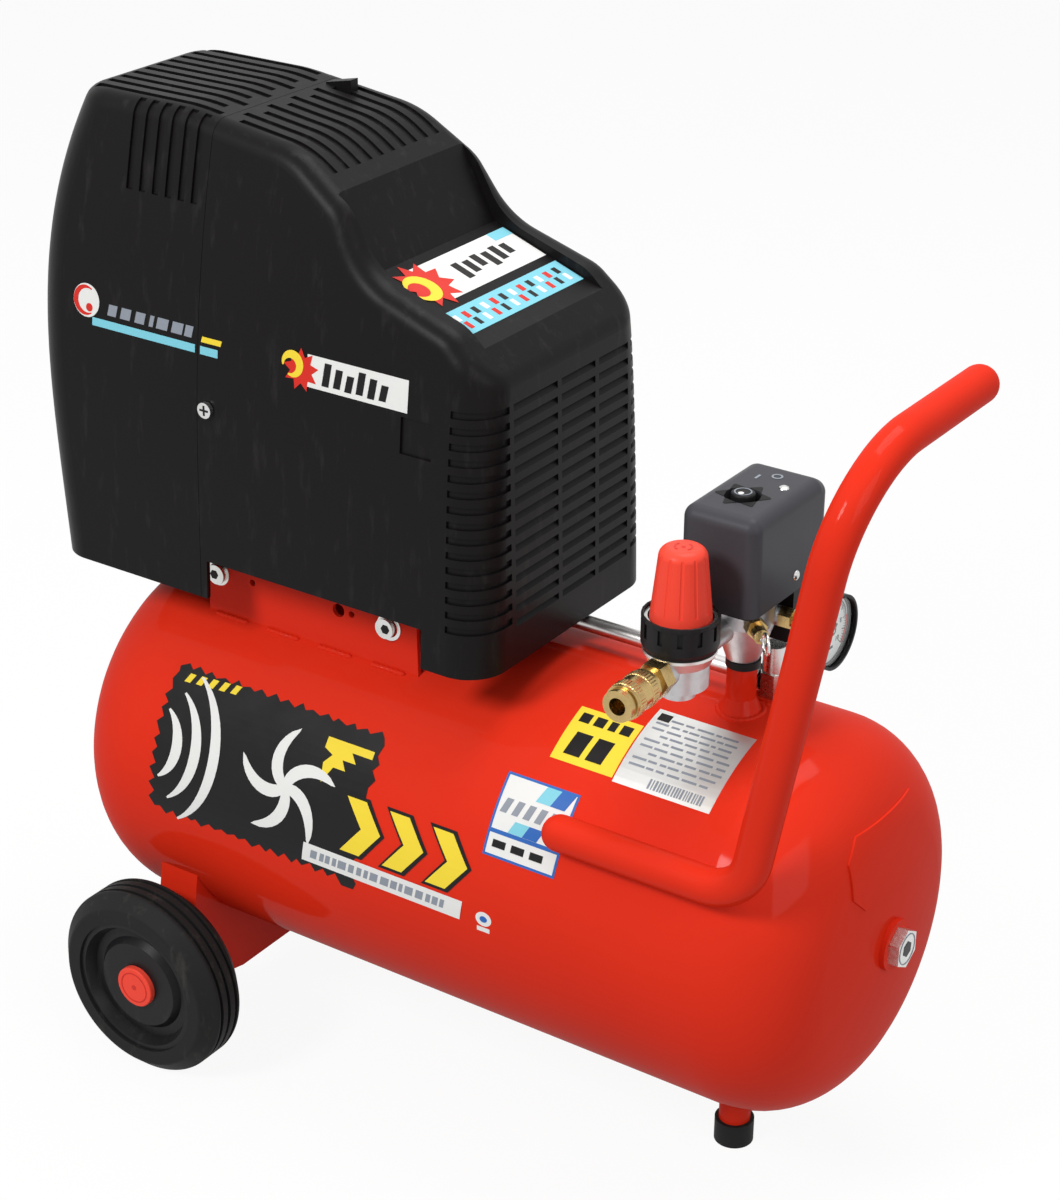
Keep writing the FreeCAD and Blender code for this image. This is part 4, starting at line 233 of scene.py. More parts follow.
def build_enamel_group():
    """Sprayed enamel: faint ripple, slow change of depth and a little settled dust."""
    tree, source, sink = shader_group("Sprayed Enamel", [
        ("Color", "NodeSocketColor", GREY), ("Deep Color", "NodeSocketColor", GREY),
        ("Dust Color", "NodeSocketColor", GREY), ("Dust", "NodeSocketFloat", 0.1),
        ("Rough Low", "NodeSocketFloat", 0.12), ("Rough High", "NodeSocketFloat", 0.3)],
        [("Color", "NodeSocketColor"), ("Roughness", "NodeSocketFloat"),
         ("Height", "NodeSocketFloat")])
    place = tree.nodes.new("ShaderNodeTexCoord").outputs["Object"]
    ripple = noise_node(tree, place, 260.0, 2.0)
    slow = noise_node(tree, place, 6.0, 2.0)
    cloud = noise_node(tree, place, 45.0, 5.0, 0.6)
    base = colour_mix(tree, slow, source.outputs["Color"], source.outputs["Deep Color"])
    level = tree.nodes.new("ShaderNodeNewGeometry").outputs["Normal"]
    split = tree.nodes.new("ShaderNodeSeparateXYZ")
    tree.links.new(level, split.inputs["Vector"])
    upward = math_node(tree, "MULTIPLY", split.outputs["Z"], 1.0, True)
    settled = math_node(tree, "MULTIPLY", math_node(tree, "MULTIPLY", upward, cloud),
                        source.outputs["Dust"])
    colour = colour_mix(tree, settled, base, source.outputs["Dust Color"])
    rough = value_mix(tree, cloud, source.outputs["Rough Low"], source.outputs["Rough High"])
    tree.links.new(colour, sink.inputs["Color"])
    tree.links.new(rough, sink.inputs["Roughness"])
    tree.links.new(ripple, sink.inputs["Height"])
    return tree


def build_metal_group():
    """Bare metal: tool streaks along one direction, tarnish in patches."""
    tree, source, sink = shader_group("Worked Metal", [
        ("Color", "NodeSocketColor", GREY), ("Tarnish Color", "NodeSocketColor", GREY),
        ("Streak", "NodeSocketVector", (1.0, 1.0, 1.0)), ("Tarnish", "NodeSocketFloat", 0.4),
        ("Rough Low", "NodeSocketFloat", 0.2), ("Rough High", "NodeSocketFloat", 0.45)],
        [("Color", "NodeSocketColor"), ("Roughness", "NodeSocketFloat"),
         ("Height", "NodeSocketFloat")])
    place = tree.nodes.new("ShaderNodeTexCoord").outputs["Object"]
    lines = noise_node(tree, stretch_node(tree, place, source.outputs["Streak"]), 1.0, 3.0)
    patch = noise_node(tree, place, 60.0, 5.0, 0.65)
    stain = math_node(tree, "MULTIPLY", math_node(tree, "SUBTRACT", patch, 0.45), 4.0, True)
    amount = math_node(tree, "MULTIPLY", stain, source.outputs["Tarnish"])
    colour = colour_mix(tree, amount, source.outputs["Color"], source.outputs["Tarnish Color"])
    rough = value_mix(tree, lines, source.outputs["Rough Low"], source.outputs["Rough High"])
    tree.links.new(colour, sink.inputs["Color"])
    tree.links.new(rough, sink.inputs["Roughness"])
    tree.links.new(lines, sink.inputs["Height"])
    return tree


# ---------------------------------------------------------------- materials
def opaque(colour):
    """Colour with full alpha."""
    return (colour[0], colour[1], colour[2], 1.0)


def new_material(name):
    """Empty material with a Principled shader; returns the material, its tree and the shader."""
    material = bpy.data.materials.new(name)
    material.use_nodes = True
    tree = material.node_tree
    shader = tree.nodes["Principled BSDF"]
    return material, tree, shader


def dressed(name, group, values, bump, distance, metallic=0.0, coat=0.0, specular=0.14):
    """Material whose colour, roughness and relief come from one node group."""
    material, tree, shader = new_material(name)
    node = tree.nodes.new("ShaderNodeGroup")
    node.node_tree = bpy.data.node_groups[group]
    for label, value in values.items():
        node.inputs[label].default_value = value
    tree.links.new(node.outputs["Color"], shader.inputs["Base Color"])
    tree.links.new(node.outputs["Roughness"], shader.inputs["Roughness"])
    relief = tree.nodes.new("ShaderNodeBump")
    relief.inputs["Strength"].default_value = bump
    relief.inputs["Distance"].default_value = distance
    tree.links.new(node.outputs["Height"], relief.inputs["Height"])
    tree.links.new(relief.outputs["Normal"], shader.inputs["Normal"])
    shader.inputs["Metallic"].default_value = metallic
    shader.inputs["Coat Weight"].default_value = coat
    shader.inputs["Coat Roughness"].default_value = 0.08
    shader.inputs["Specular IOR Level"].default_value = specular
    return material


def grain(name, colour, scuff, scale, low, high, amount, bump=0.3, specular=0.14):
    """Moulded plastic or rubber."""
    values = {"Color": opaque(colour), "Scuff Color": opaque(scuff), "Grain Scale": scale,
              "Rough Low": low, "Rough High": high, "Scuff": amount}
    return dressed(name, "Moulded Grain", values, bump, 0.15 * MM, specular=specular)


def enamel(name, colour, deep, dust, low, high, coat, specular=0.14):
    """Sprayed or printed colour."""
    values = {"Color": opaque(colour), "Deep Color": opaque(deep),
              "Dust Color": (0.45, 0.38, 0.33, 1.0), "Dust": dust,
              "Rough Low": low, "Rough High": high}
    return dressed(name, "Sprayed Enamel", values, 0.06, 0.2 * MM, coat=coat, specular=specular)


def metal(name, colour, tarnish, streak, amount, low, high, bump=0.12):
    """Bare metal with streaks; streak holds the scale along each axis."""
    values = {"Color": opaque(colour), "Tarnish Color": opaque(tarnish), "Streak": streak,
              "Tarnish": amount, "Rough Low": low, "Rough High": high}
    return dressed(name, "Worked Metal", values, bump, 0.1 * MM, metallic=1.0, specular=0.5)


def shade(colour, factor):
    """Colour made darker or paler by a factor."""
    return tuple(channel * factor for channel in colour[:3])


def build_materials(colours):
    """Every finish of the compressor, by name."""
    red = tuple(colours.enamel)
    knob = tuple(colours.knob)
    cover = tuple(colours.cover)
    brass = tuple(colours.brass)
    alloy = tuple(colours.alloy)
    made = {
        "Red Enamel": enamel("Red Enamel", red, shade(red, 0.84), 0.02, 0.10, 0.19, 0.12, 0.0),
        "Red Plastic": enamel("Red Plastic", knob, shade(knob, 0.86), 0.04, 0.32, 0.42, 0.0),
        "Cover Plastic": grain("Cover Plastic", cover, (0.05, 0.047, 0.045), 1300.0,
                               0.34, 0.46, 0.25, specular=0.10),
        "Black Plastic": grain("Black Plastic", (0.012, 0.012, 0.013), (0.05, 0.05, 0.05),
                               1500.0, 0.36, 0.5, 0.2),
        "Wheel Plastic": grain("Wheel Plastic", (0.010, 0.010, 0.011), (0.05, 0.05, 0.05),
                               1200.0, 0.32, 0.45, 0.35),
        "Tyre Rubber": grain("Tyre Rubber", (0.013, 0.013, 0.013), (0.07, 0.066, 0.06),
                             1000.0, 0.55, 0.75, 0.5, 0.4),
        "Foot Rubber": grain("Foot Rubber", (0.014, 0.014, 0.014), (0.05, 0.05, 0.05),
                             1000.0, 0.6, 0.75, 0.3),
        "Switch Plastic": grain("Switch Plastic", tuple(colours.switch), (0.09, 0.09, 0.1),
                                1100.0, 0.36, 0.5, 0.15),
        "Cast Alloy": metal("Cast Alloy", alloy, shade(alloy, 0.55), (420.0, 420.0, 420.0),
                            0.5, 0.34, 0.52, 0.3),
        "Machined Steel": metal("Machined Steel", (0.6, 0.6, 0.6), (0.35, 0.33, 0.3),
                                (60.0, 900.0, 900.0), 0.3, 0.2, 0.35),
        "Zinc Plate": metal("Zinc Plate", (0.66, 0.67, 0.66), (0.5, 0.47, 0.38),
                            (300.0, 300.0, 300.0), 0.35, 0.2, 0.34),
        "Brass": metal("Brass", brass, shade(brass, 0.45), (200.0, 900.0, 200.0), 0.5,
                       0.18, 0.36),
        "Pipe Alloy": metal("Pipe Alloy", (0.72, 0.70, 0.69), (0.5, 0.45, 0.42),
                            (60.0, 500.0, 500.0), 0.5, 0.25, 0.4),
        "Lamination Steel": metal("Lamination Steel", (0.3, 0.3, 0.31), (0.15, 0.12, 0.1),
                                  (2400.0, 10.0, 10.0), 0.4, 0.3, 0.5),
        "Winding Copper": metal("Winding Copper", (0.6, 0.24, 0.1), (0.35, 0.12, 0.05),
                                (1800.0, 60.0, 60.0), 0.3, 0.25, 0.4),
        "Plate Silver": metal("Plate Silver", (0.72, 0.71, 0.69), (0.6, 0.59, 0.57),
                              (30.0, 1200.0, 1200.0), 0.3, 0.34, 0.46),
        "Dial White": enamel("Dial White", (0.82, 0.82, 0.8), (0.76, 0.76, 0.74), 0.0,
                             0.4, 0.5, 0.0),
    }
    for label in ("yellow", "white", "cyan", "blue", "red", "grey", "ink"):
        colour = tuple(getattr(colours, label))
        name = "Print " + label.capitalize()
        made[name] = enamel(name, colour, shade(colour, 0.93), 0.05, 0.26, 0.36, 0.0)
    made["Gauge Glass"] = build_glass()
    return made


def build_glass():
    """Clear window of the gauge."""
    material, _, shader = new_material("Gauge Glass")
    shader.inputs["Base Color"].default_value = (0.97, 0.99, 0.99, 1.0)
    shader.inputs["Roughness"].default_value = 0.03
    shader.inputs["Transmission Weight"].default_value = 1.0
    shader.inputs["IOR"].default_value = 1.3
    return material


NODE_FINISH = {
    "Red Enamel": ("tank_shell", "tank_bosses", "front_foot_tube", "axle_bracket",
                   "handle_tube", "pump_saddle", "data_plate"),
    "Red Plastic": ("near_hub_cap", "far_hub_cap", "regulator_knob"),
    "Cover Plastic": ("shroud_left_cover", "shroud_right_cover"),
    "Black Plastic": ("cooling_fan", "motor_capacitor", "intake_filter", "switch_base",
                      "cable_glands", "regulator_lock_ring", "gauge_case", "gauge_pointer",
                      "switch_knob"),
    "Wheel Plastic": ("near_wheel_rim", "far_wheel_rim"),
    "Tyre Rubber": ("near_wheel_tyre", "far_wheel_tyre"),
    "Foot Rubber": ("front_foot_cap", "rubber_mounts"),
    "Switch Plastic": ("switch_cover",),
    "Cast Alloy": ("motor_housing", "motor_end_shields", "crankcase", "valve_plate",
                   "cylinder_head", "cylinder", "connecting_rod", "piston",
                   "switch_manifold", "regulator_body"),
    "Machined Steel": ("shaft_bearings", "rotor", "crankshaft", "regulator_spring"),
    "Zinc Plate": ("inspection_plugs", "axle_bolts", "saddle_bolts", "pipe_nut",
                   "shroud_screws", "relief_valve_ring", "drain_cock_key", "check_valve"),
    "Brass": ("manifold_fittings", "coupler_body", "coupler_sleeve",
              "drain_cock_body"),
    "Pipe Alloy": ("delivery_pipe", "unloader_tube"),
    "Lamination Steel": ("stator_core",),
    "Winding Copper": ("stator_windings",),
    "Dial White": ("gauge_dial",),
    "Gauge Glass": ("gauge_glass",),
}


class COMPRESSOR_OT_finish_solids(bpy.types.Operator):
    """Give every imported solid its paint, plastic, rubber or metal finish"""
    bl_idname = "compressor.finish_solids"
    bl_label = "Finish Solids"

    def execute(self, context):
        build_grain_group()
        build_enamel_group()
        build_metal_group()
        made = build_materials(context.scene.compressor_colours)
        finished = set()
        for finish, nodes in NODE_FINISH.items():
            for node in nodes:
                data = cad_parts[node].data
                data.materials.clear()
                data.materials.append(made[finish])
                finished.add(node)
        if finished != set(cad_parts):
            raise RuntimeError("finish missing: %s" % (set(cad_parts) ^ finished))
        return {"FINISHED"}


# ---------------------------------------------------------------- flat outlines, in millimetres
def box_outline(u0, v0, u1, v1, lean=0.0):
    """Rectangle, or a parallelogram whose second side leans along u."""
    return [(u0, v0), (u1, v0), (u1 + lean, v1), (u0 + lean, v1)]


def oval(u, v, ru, rv, count=40):
    """Circle or ellipse."""
    return [(u + ru * math.cos(math.tau * i / count), v + rv * math.sin(math.tau * i / count))
            for i in range(count)]


def burst(u, v, outer, inner, points, turn=0.0):
    """Star with straight points."""
    outline = []
    for i in range(2 * points):
        reach = inner if i % 2 else outer
        angle = turn + math.pi * i / points
        outline.append((u + reach * math.cos(angle), v + reach * math.sin(angle)))
    return outline


def crescent(u, v, radius, width, start, stop, count=24):
    """Arc-shaped stroke that thins towards both ends; angles in degrees."""
    rim = []
    core = []
    for i in range(count + 1):
        share = i / count
        angle = math.radians(start + (stop - start) * share)
        half = width / 2 * (0.18 + 0.82 * math.sin(math.pi * share))
        rim.append((u + (radius + half) * math.cos(angle), v + (radius + half) * math.sin(angle)))
        core.append((u + (radius - half) * math.cos(angle), v + (radius - half) * math.sin(angle)))
    return rim + core[::-1]


def blade(u, v, reach, width, turn, count=10):
    """Curved blade of a pinwheel, from its hub to its tip."""
    rim = []
    core = []
    for i in range(count + 1):
        share = i / count
        radius = reach * (0.14 + 0.86 * share)
        sweep = turn + 55.0 * share
        half = width * (1.0 - share) ** 0.6 * (0.35 + 0.65 * share) * 1.4
        for side, line in ((1, rim), (-1, core)):
            angle = math.radians(sweep) + side * half / max(radius, 1.0) * 0.5
            line.append((u + radius * math.cos(angle), v + radius * math.sin(angle)))
    return rim + core[::-1]


def chevron(u, v0, v1, width, point):
    """Arrow stripe that points along u."""
    middle = (v0 + v1) / 2
    return [(u, v0), (u + width, v0), (u + width + point, middle), (u + width, v1), (u, v1),
            (u + point, middle)]


def torn(corners, tooth, depth, draw):
    """Outline whose straight sides are broken into uneven teeth."""
    outline = []
    for (u0, v0), (u1, v1) in zip(corners, corners[1:] + corners[:1]):
        length = math.hypot(u1 - u0, v1 - v0)
        count = max(2, int(length / tooth))
        across = ((v1 - v0) / length, (u0 - u1) / length)
        for i in range(count):
            share = (i + draw.uniform(-0.25, 0.25) * (i > 0)) / count
            reach = (depth if i % 2 else -depth * 0.3) * draw.uniform(0.3, 1.0)
            outline.append((u0 + (u1 - u0) * share + across[0] * reach,
                            v0 + (v1 - v0) * share + across[1] * reach))
    return outline


def dash_row(draw, start, stop, lengths, gaps, low, high, lean=0.0, end=math.inf):
    """Row of dashes of uneven length along u, from start until stop is passed."""
    row = []
    place = start
    while place < stop:
        tip = min(place + draw.uniform(*lengths), end)
        row.append(box_outline(place, low, tip, high, lean))
        place = tip + draw.uniform(*gaps)
    return row


# ---------------------------------------------------------------- films on a surface
def add_piece(name, bm, material, body, smooth=False):
    """Mesh object from a bmesh, with its finish, riding on a body."""
    data = bpy.data.meshes.new(name)
    bmesh.ops.recalc_face_normals(bm, faces=bm.faces[:])
    bm.to_mesh(data)
    bm.free()
    data.materials.append(bpy.data.materials[material])
    if smooth:
        data.shade_smooth()
    piece = bpy.data.objects.new(name, data)
    bpy.context.scene.collection.objects.link(piece)
    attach(piece, body)
    return piece


FILM_GAP = 0.02 * MM
BEND_STEP = 6.0         # longest stretch of a film on a curved face
TIGHT_STEP = 5.0
FLAT_STEP = 30.0


def film(name, outlines, place, finish, layer=0, step=BEND_STEP, body="frame"):
    """Thin printed film: flat outlines bent onto a surface by place(u, v, height)."""
    sizes = bpy.context.scene.compressor_sizes
    low = sizes.lift + layer * (sizes.film + FILM_GAP)
    bm = bmesh.new()
    for outline in outlines:
        bm.faces.new([bm.verts.new((u, v, 0.0)) for u, v in outline])
    for axis in (0, 1):
        values = [vert.co[axis] for vert in bm.verts]
        cut = math.floor(min(values) / step) * step + step
        while cut < max(values) - 0.01:
            origin = [0.0, 0.0, 0.0]
            normal = [0.0, 0.0, 0.0]
            origin[axis] = cut
            normal[axis] = 1.0
            geometry = bm.verts[:] + bm.edges[:] + bm.faces[:]
            bmesh.ops.bisect_plane(bm, geom=geometry, plane_co=origin, plane_no=normal, dist=0.001)
            cut += step
    bmesh.ops.triangulate(bm, faces=bm.faces[:])
    top = bmesh.ops.extrude_face_region(bm, geom=bm.faces[:])
    for vert in [item for item in top["geom"] if isinstance(item, bmesh.types.BMVert)]:
        vert.co.z = 1.0
    for vert in bm.verts:
        height = low + sizes.film * vert.co.z
        vert.co = place(vert.co.x * MM, vert.co.y * MM, height)
    return add_piece(name, bm, finish, body)


def flat_film(name, outlines, place, finish, layer=0, body="frame"):
    """Printed film on a flat face, which needs no cuts to bend along."""
    return film(name, outlines, place, finish, layer, FLAT_STEP, body)


def printer(prefix, place):
    """Gives a function that lays inked films on one surface."""
    def lay(label, outlines, ink, layer=0, step=BEND_STEP):
        return film(prefix + label, outlines, place, "Print " + ink, layer, step)
    return lay


def on_tank(along, round_arc, height):
    """Point on the tank's barrel: X, then the arc from its top towards the near side."""
    angle = round_arc / TANK_RADIUS
    radius = TANK_RADIUS + height
    return Vector((along, -radius * math.sin(angle), TANK_AXIS_Z + radius * math.cos(angle)))


def surface_of(*nodes):
    """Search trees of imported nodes."""
    graph = bpy.context.evaluated_depsgraph_get()
    return [BVHTree.FromObject(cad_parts[node], graph) for node in nodes]


def nearest_hit(trees, start, way):
    """First point that a ray meets on any of the trees."""
    hits = [tree.ray_cast(start, way) for tree in trees]
    hits = [hit for hit in hits if hit[0] is not None]
    if not hits:
        raise RuntimeError("no surface under a print at %s" % (tuple(start),))
    return min(hits, key=lambda hit: hit[3])[0]


def on_cover_side(trees):
    """Places films on the near side of the covers: X, then Z."""
    way = Vector((0.0, 1.0, 0.0))
    outward = Vector((0.0, -0.994, 0.11))

    def place(along, level, height):
        start = Vector((along, CAD_LOW[1] - 0.1, level))
        return nearest_hit(trees, start, way) + outward * height
    return place


def on_cover_slope(trees):
    """Places films on the sloping panel of the right cover: X, then Y."""
    way = Vector((0.0, 0.0, -1.0))
    outward = Vector((0.33, 0.0, 0.944))

    def place(along, across, height):
        start = Vector((along, across, CAD_HIGH[2] + 0.1))
        return nearest_hit(trees, start, way) + outward * height
    return place


TANK_PRINT_SEED = 11
COVER_PRINT_SEED = 5


class COMPRESSOR_OT_print_tank(bpy.types.Operator):
    """Add the printed films on the near side and the top of the tank"""
    bl_idname = "compressor.print_tank"
    bl_label = "Print Tank"

    def execute(self, context):
        draw = random.Random(TANK_PRINT_SEED)
        tank_film = printer("tank_print_", on_tank)
        plate_film = printer("tank_plate_", on_tank)
        panel = torn([(-186.0, 100.0), (-24.0, 102.0), (-23.0, 140.0), (-27.0, 202.0),
                      (-40.0, 195.0), (-186.0, 195.0)], 5.0, 4.0, draw)
        tank_film("panel", [panel], "Ink")
        waves = [crescent(-196.0, 151.0, radius, 8.0, -58.0, 58.0)
                 for radius in (26.0, 41.0, 56.0)]
        tank_film("waves", waves, "White", 1)
        wheel = [blade(-83.0, 151.0, 38.0, 15.0, 72.0 * i) for i in range(5)]
        tank_film("pinwheel", wheel + [oval(-83.0, 151.0, 5.0, 5.0)], "White", 1)
        ticks = [box_outline(-176.0 + 9.0 * i, 103.5 - 0.6 * i, -171.5 + 9.0 * i,
                             109.5 - 0.6 * i, -2.5) for i in range(5)]
        tank_film("ticks", ticks, "Yellow", 1)
        spark = [(-62.0, 112.0), (-27.0, 112.0), (-27.0, 117.0), (-42.0, 117.0),
                 (-37.0, 123.0), (-47.0, 123.0), (-43.0, 129.0), (-52.0, 129.0),
                 (-58.0, 140.0), (-60.0, 128.0), (-55.0, 122.0), (-62.0, 119.0)]
        tank_film("spark", [spark], "Yellow", 1)

        shadows = [chevron(-39.5 + 32.0 * i, 140.0, 178.5, 19.5, 15.0) for i in range(3)]
        tank_film("chevron_edges", shadows, "Ink", 1)
        arrows = [chevron(-36.5 + 32.0 * i, 142.0, 176.5, 14.5, 14.0) for i in range(3)]
        tank_film("chevrons", arrows, "Yellow", 2)

        tank_film("strip", [box_outline(-64.0, 180.5, 55.0, 193.0, -1.5)], "White", 2)
        dashes = dash_row(draw, -58.0, 44.0, (2.0, 6.5), (1.2, 2.4), 184.0, 189.5, -1.0)
        tank_film("strip_dashes", dashes, "Grey", 3)

        tank_film("square_edge", [box_outline(63.8, 96.0, 114.0, 147.0)], "Blue")
        tank_film("square", [box_outline(65.5, 97.6, 112.4, 130.5),
                             box_outline(65.5, 133.0, 112.4, 145.4)], "White", 1)
        tank_film("square_cyan", [box_outline(92.0, 97.6, 102.0, 108.0, -4.0),
                                  box_outline(80.0, 123.0, 90.0, 130.4, -3.0)], "Cyan", 2)
        tank_film("square_blue", [box_outline(102.0, 97.6, 112.0, 108.0, -4.0),
                                  box_outline(90.0, 123.0, 100.0, 130.4, -3.0)], "Blue", 2)
        bars = [box_outline(70.0 + 8.0 * i, 111.0, 74.5 + 8.0 * i, 120.0, -2.5)
                for i in range(5)]
        tank_film("square_bars", bars, "Grey", 2)
        foot = [box_outline(69.0 + 13.0 * i, 136.5, 78.0 + 13.0 * i, 141.0) for i in range(3)]
        tank_film("square_foot", foot, "Ink", 2)
        tank_film("mark", [oval(70.5, 187.0, 5.6, 4.6), box_outline(66.0, 192.5, 75.0, 195.5)], "White")
        tank_film("mark_core", [oval(70.5, 187.0, 2.6, 2.0)], "Blue", 1)

        tank_film("sticker", [box_outline(84.0, 41.0, 127.0, 80.0)], "Yellow")
        blocks = [box_outline(92.0, 59.0, 103.0, 75.0, -1.5), box_outline(107.0, 59.0, 118.0, 75.0, -1.5),
                  box_outline(88.0, 45.0, 95.0, 52.0), box_outline(98.0, 45.0, 105.0, 52.0),
                  box_outline(108.0, 45.0, 113.0, 52.0), box_outline(116.0, 45.0, 123.0, 52.0)]
        tank_film("sticker_blocks", blocks, "Ink", 1)

        film("tank_plate", [box_outline(128.0, 24.0, 193.0, 82.0)], on_tank, "Plate Silver")
        lines = []
        for row in range(9):
            level = 30.0 + 4.6 * row
            start = 132.0 if row % 3 else 140.0
            lines += dash_row(draw, start, 184.0, (3.0, 11.0), (1.0, 2.5), level, level + 1.5, end=189.0)
        lines += dash_row(draw, 150.0, 186.0, (0.5, 1.4), (0.6, 1.2), 73.0, 79.5)
        plate_film("lines", lines, "Grey", 1)
        plate_film("corner", [box_outline(131.0, 27.0, 139.0, 33.0)], "Ink", 1)
        return {"FINISHED"}


class COMPRESSOR_OT_print_covers(bpy.types.Operator):
    """Add the printed films on the side and the slope of the covers"""
    bl_idname = "compressor.print_covers"
    bl_label = "Print Covers"

    def execute(self, context):
        draw = random.Random(COVER_PRINT_SEED)
        trees = surface_of("shroud_left_cover", "shroud_right_cover")
        side_film = printer("cover_print_", on_cover_side(trees))
        # left half of the near side: a roundel over a long stripe, cut at the covers' seam
        side_film("roundel", [oval(-251.0, 495.5, 10.4, 10.4)], "White", step=TIGHT_STEP)
        side_film("roundel_ring", [crescent(-251.0, 495.5, 8.4, 3.6, 60.0, 300.0)], "Red", 1, TIGHT_STEP)
        side_film("roundel_core", [oval(-248.5, 491.5, 2.6, 2.6)], "Red", 1)
        stripe = [box_outline(-246.0, 481.0, -164.5, 486.0), box_outline(-160.5, 481.0, -147.0, 486.0)]
        side_film("stripe", stripe, "Cyan")
        dashes = dash_row(draw, -234.0, -172.0, (3.0, 9.0), (1.5, 4.0), 489.5, 496.5, 1.5)
        side_film("dashes", dashes, "Grey")
        side_film("tail", [box_outline(-160.0, 488.5, -145.0, 492.0, 1.0)], "Yellow")

        side_film("strip", [box_outline(-80.0, 478.8, -7.6, 498.2)], "White")
        side_film("burst", [burst(-84.5, 487.8, 13.0, 8.0, 9, 0.2)], "Red", 1)
        side_film("hook", [crescent(-91.5, 489.5, 6.2, 5.6, -110.0, 190.0)], "Yellow", 2, TIGHT_STEP)
        slashes = [box_outline(-69.0 + 8.2 * i, 481.5 + 0.5 * (i % 2), -64.0 + 8.2 * i,
                               495.5 - 2.0 * (i % 3), 1.8) for i in range(6)]
        side_film("slashes", slashes, "Ink", 1)

        slope_film = printer("slope_print_", on_cover_slope(surface_of("shroud_right_cover")))
        slope_film("strip", [box_outline(-43.0, -36.0, -11.5, 59.5)], "White")
        slope_film("corner", [box_outline(-43.0, 42.0, -36.0, 59.5)], "Cyan", 1)
        slope_film("band", [box_outline(-5.0, -59.5, 15.5, 59.5)], "Cyan")
        slope_film("burst", [burst(-28.0, -38.0, 20.5, 13.0, 10, 0.1)], "Red", 1)
        slope_film("hook", [crescent(-27.0, -46.0, 9.0, 8.0, -60.0, 240.0)], "Yellow", 2, TIGHT_STEP)
        marks = [box_outline(-34.0 + 1.5 * (i % 2), -8.0 + 9.4 * i, -19.5 - 2.0 * (i % 3), -2.2 + 9.4 * i)
                 for i in range(6)]
        slope_film("marks", marks, "Ink", 1)
        studs = [[], [], []]
        for i in range(12):
            across = -53.0 + 9.2 * i
            studs[i % 3].append(box_outline(-1.0, across, 4.5, across + 4.0))
            studs[(i + 1) % 3].append(box_outline(6.0, across + 2.0, 12.0, across + 5.5))
        for outlines, finish in zip(studs, ("White", "Red", "Ink")):
            slope_film("studs_" + finish.lower(), outlines, finish, 1)
        return {"FINISHED"}


# ---------------------------------------------------------------- trim made on the solids
def frame_of(axis):
    """Turn that carries Z onto an axis."""
    return Vector((0.0, 0.0, 1.0)).rotation_difference(Vector(axis)).to_matrix()


def turned(name, profile, centre, axis, finish, body="frame", teeth=0, depth=0.0, count=72):
    """Ring spun round an axis from a closed profile of radius and height, in millimetres."""
    turn = frame_of(axis)
    bm = bmesh.new()
    rings = []
    for i in range(count):
        angle = math.tau * i / count
        swell = depth * math.cos(angle * teeth) if teeth else 0.0
        spot = [Vector(((radius + swell) * math.cos(angle), (radius + swell) * math.sin(angle),
                        height)) * MM for radius, height in profile]
        rings.append([bm.verts.new(Vector(centre) + turn @ point) for point in spot])
    for i, ring in enumerate(rings):
        after = rings[(i + 1) % count]
        for j in range(len(profile)):
            k = (j + 1) % len(profile)
            bm.faces.new((ring[j], after[j], after[k], ring[k]))
    return add_piece(name, bm, finish, body)


BEAD_SIDES = 10
BEAD_PITCH = 1.1        # between the points along a bead


def bead(name, path, closed=False):
    """Rippled, painted weld bead along a path of points, in metres."""
    radius = bpy.context.scene.compressor_sizes.bead
    bm = bmesh.new()
    rings = []
    count = len(path)
    for i, point in enumerate(path):
        before = path[i - 1] if closed or i else path[0]
        after = path[(i + 1) % count] if closed or i + 1 < count else path[-1]
        along = (after - before).normalized()
        side = along.cross(Vector((0.31, 0.52, 0.79))).normalized()
        rise = side.cross(along)
        fade = 0.45 if not closed and i in (0, count - 1) else 1.0
        swell = radius * fade * (1.0 + 0.2 * math.sin(i * 1.9))
        turns = [math.tau * k / BEAD_SIDES for k in range(BEAD_SIDES)]
        rings.append([bm.verts.new(point + (side * math.cos(turn) + rise * math.sin(turn)) * swell)
                      for turn in turns])
    spans = zip(rings, rings[1:] + rings[:1]) if closed else zip(rings, rings[1:])
    for ring, after in spans:
        for k in range(BEAD_SIDES):
            j = (k + 1) % BEAD_SIDES
            bm.faces.new((ring[k], ring[j], after[j], after[k]))
    if not closed:
        bm.faces.new(rings[0][::-1])
        bm.faces.new(rings[-1])
    return add_piece(name, bm, "Red Enamel", "frame", True)


def tank_ring(x, y, radius, side):
    """Closed path where an upright tube of a radius, in millimetres, meets the tank."""
    count = max(24, int(math.tau * radius / BEAD_PITCH))
    path = []
    for i in range(count):
        angle = math.tau * i / count
        across = y + radius * MM * math.sin(angle)
        level = TANK_AXIS_Z + side * math.sqrt(TANK_RADIUS ** 2 - across ** 2)
        path.append(Vector((x + radius * MM * math.cos(angle), across, level)))
    return path


def tank_line(x0, x1, arc):
    """Straight path along the tank at an arc from its top, in millimetres."""
    count = max(3, int(abs(x1 - x0) / BEAD_PITCH))
    return [on_tank((x0 + (x1 - x0) * i / count) * MM, arc * MM, 0.0) for i in range(count + 1)]


def middle(node):
    """Middle of a node's box."""
    low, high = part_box(node)
    return Vector([(a + b) / 2 for a, b in zip(low, high)])


def on_plane(centre, right, rise):
    """Places films on a flat face: right and rise are unit vectors in the face."""
    centre, right, rise = Vector(centre), Vector(right), Vector(rise)
    out = right.cross(rise)

    def place(u, v, height):
        return centre + right * u + rise * v + out * height
    return place


def hexagon_outline(radius, turn=0.0):
    """Regular hexagon round the origin."""
    return [(radius * math.cos(turn + math.tau * i / 6), radius * math.sin(turn + math.tau * i / 6))
            for i in range(6)]


